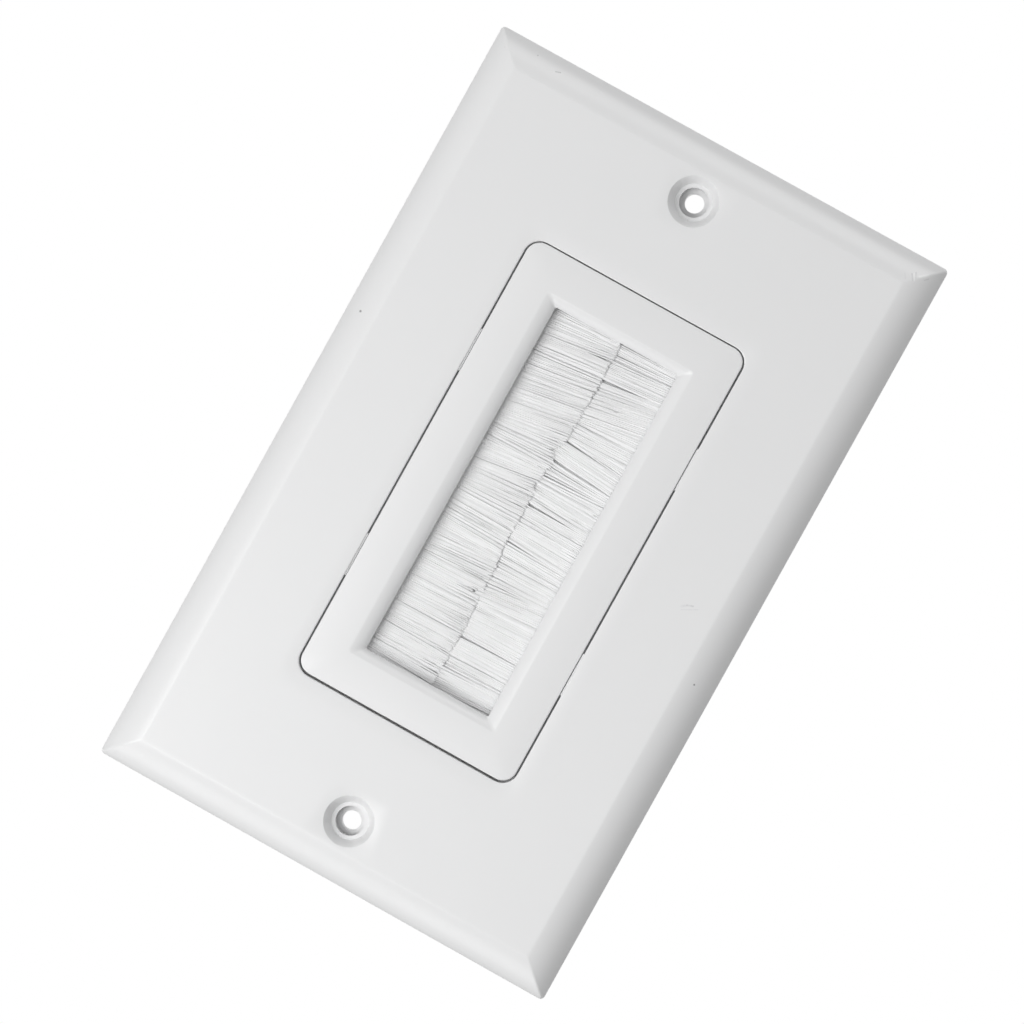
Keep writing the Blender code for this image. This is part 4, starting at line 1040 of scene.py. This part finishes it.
def screw_head(centre, turn):
    """Polar grid of a pan head: underside, edge, dome, less a cross recess with sloping walls."""
    angles = circle(HEAD_SIDES)
    share = np.concatenate([[0.0, 1.0], np.linspace(1, 0, HEAD_RINGS)])
    radius = HEAD_RADIUS * share[:, None] * np.ones_like(angles)
    fall = np.sqrt(np.clip(1 - share ** DOME_POWER, 0, 1))
    dome = HEAD_EDGE + (HEAD_HEIGHT - HEAD_EDGE) * fall
    dome[:2] = 0.0
    along, beside = radius * np.cos(angles - turn), radius * np.sin(angles - turn)
    arm = np.minimum(
        np.maximum(np.abs(along) / RECESS_LENGTH, np.abs(beside) / RECESS_WIDTH),
        np.maximum(np.abs(beside) / RECESS_LENGTH, np.abs(along) / RECESS_WIDTH))
    depth = RECESS_DEPTH * (1 - smooth_step(arm, *RECESS_WALL)) * (1 - RECESS_RISE * share[:, None])
    depth[:2] = 0.0
    return grid(around(centre, radius, HEAD_SEAT_Y + dome[:, None] - depth, angles))


def screw_shank(centre):
    """Shank: core + depth * (ridge of y / pitch + angle / 2 pi), narrowing to a point."""
    angles = circle(SHANK_SIDES)
    along = np.linspace(-SHANK_OVERLAP, SHANK_LENGTH, SHANK_RINGS)
    phase = along[:, None] / THREAD_PITCH + angles / (2 * math.pi)
    ridge = np.clip(1 - np.abs((phase % 1) - 0.5) * THREAD_SHARPNESS, 0, 1)
    narrowing = smooth_step(along, SHANK_LENGTH - POINT_LENGTH, SHANK_LENGTH)[:, None]
    radius = (SHANK_RADIUS - THREAD_DEPTH + THREAD_DEPTH * ridge) * (1 - narrowing * POINT_TAPER)
    return capped(around(centre, radius, HEAD_SEAT_Y - along[:, None], angles))


SCREW_TURNS = (0.2, 1.1, -0.35, 0.7)
places = [(across * FIXING_X, up * FIXING_Z) for across in (-1, 1) for up in (-1, 1)]
for number, (place, turn) in enumerate(zip(places, SCREW_TURNS), start=1):
    name = f"screw_{number}"
    mesh = mesh_of(name, [screw_head(place, turn), screw_shank(place)])
    add_piece(name, mesh, zinc, [f"retainer_screw_{number}"], sharp=35)

# %% [markdown]
# The studio is a white room. The world shows pure white to the camera and in reflections, while it
# lights the plate only softly. The main soft box stands in front, low and to the left, near enough
# that the face grows a little darker towards its upper right corner, as in the photograph. Two
# weak ones graze the plate from below and above, which keeps its upper and lower edges light. The
# right edge faces none of them, so it is the darkest. A pale floor lies well below the plate,
# where the camera doesn't see it.

# %% World and floor
AMBIENT = 0.34

world = bpy.data.worlds.new("white_room")
bpy.context.scene.world = world
world.use_nodes = True
tree = world.node_tree
tree.nodes.clear()
path = node(tree, "ShaderNodeLightPath").outputs
seen = arithmetic(tree, "MAXIMUM", path["Is Camera Ray"],
                  arithmetic(tree, "MAXIMUM", path["Is Glossy Ray"], path["Is Transmission Ray"]))
light = node(tree, "ShaderNodeBackground", {"Color": (1, 1, 1, 1), "Strength": AMBIENT})
shown = node(tree, "ShaderNodeBackground", {"Color": (1, 1, 1, 1), "Strength": 1.0})
mixed = node(tree, "ShaderNodeMixShader", {0: seen, 1: light.outputs[0], 2: shown.outputs[0]})
node(tree, "ShaderNodeOutputWorld", {"Surface": mixed.outputs[0]})

FLOOR_Z, FLOOR_RADIUS, FLOOR_RINGS, FLOOR_SIDES = -0.80, 1.5, 12, 96
FLOOR_WHITE, FLOOR_GREY, FLOOR_GRAIN, FLOOR_GLOW = (0.84,) * 3, (0.80,) * 3, 0.03, 0.45


def pale_floor():
    """Round floor: rings of points, white to the camera except where the plate's shadow falls."""
    angles = circle(FLOOR_SIDES)
    radius = np.linspace(0, FLOOR_RADIUS, FLOOR_RINGS)[:, None]
    points = np.stack([radius * np.cos(angles), radius * np.sin(angles),
                       np.full((FLOOR_RINGS, FLOOR_SIDES), FLOOR_Z)], axis=-1)
    mesh = mesh_of("floor", [grid(points)])
    material, tree, shader, point = new_material("floor_white")
    grain = noise(tree, point, FLOOR_GRAIN, 0.0, 0.5)
    camera_ray = node(tree, "ShaderNodeLightPath").outputs["Is Camera Ray"]
    fill(tree, shader, {
        "Base Color": tinted(tree, FLOOR_WHITE, FLOOR_GREY, grain), "Roughness": 0.8,
        "Emission Color": (1, 1, 1, 1),
        "Emission Strength": arithmetic(tree, "MULTIPLY", camera_ray, FLOOR_GLOW),
    })
    mesh.materials.append(material)
    floor = bpy.data.objects.new("floor", mesh)
    bpy.context.scene.collection.objects.link(floor)


pale_floor()
print("floor at", FLOOR_Z, "m")

# %% Soft boxes
# Each lamp is a name, a place and a width in metres, and a power in watts.
LAMPS = [
    ("main", (-0.225, -0.450, -0.220), 0.35, 1.90),
    ("lower", (0.0, -0.155, -0.580), 0.35, 0.55),
    ("upper", (0.0, -0.155, 0.580), 0.35, 0.90),
]
for name, place, size, watts in LAMPS:
    lamp = aimed("soft_box_" + name, bpy.data.lights.new(name, "AREA"), place, (0, 0, 0))
    lamp.data.shape = "SQUARE"
    lamp.data.size = size
    lamp.data.energy = watts
    print("soft box", name, "of", watts, "W")
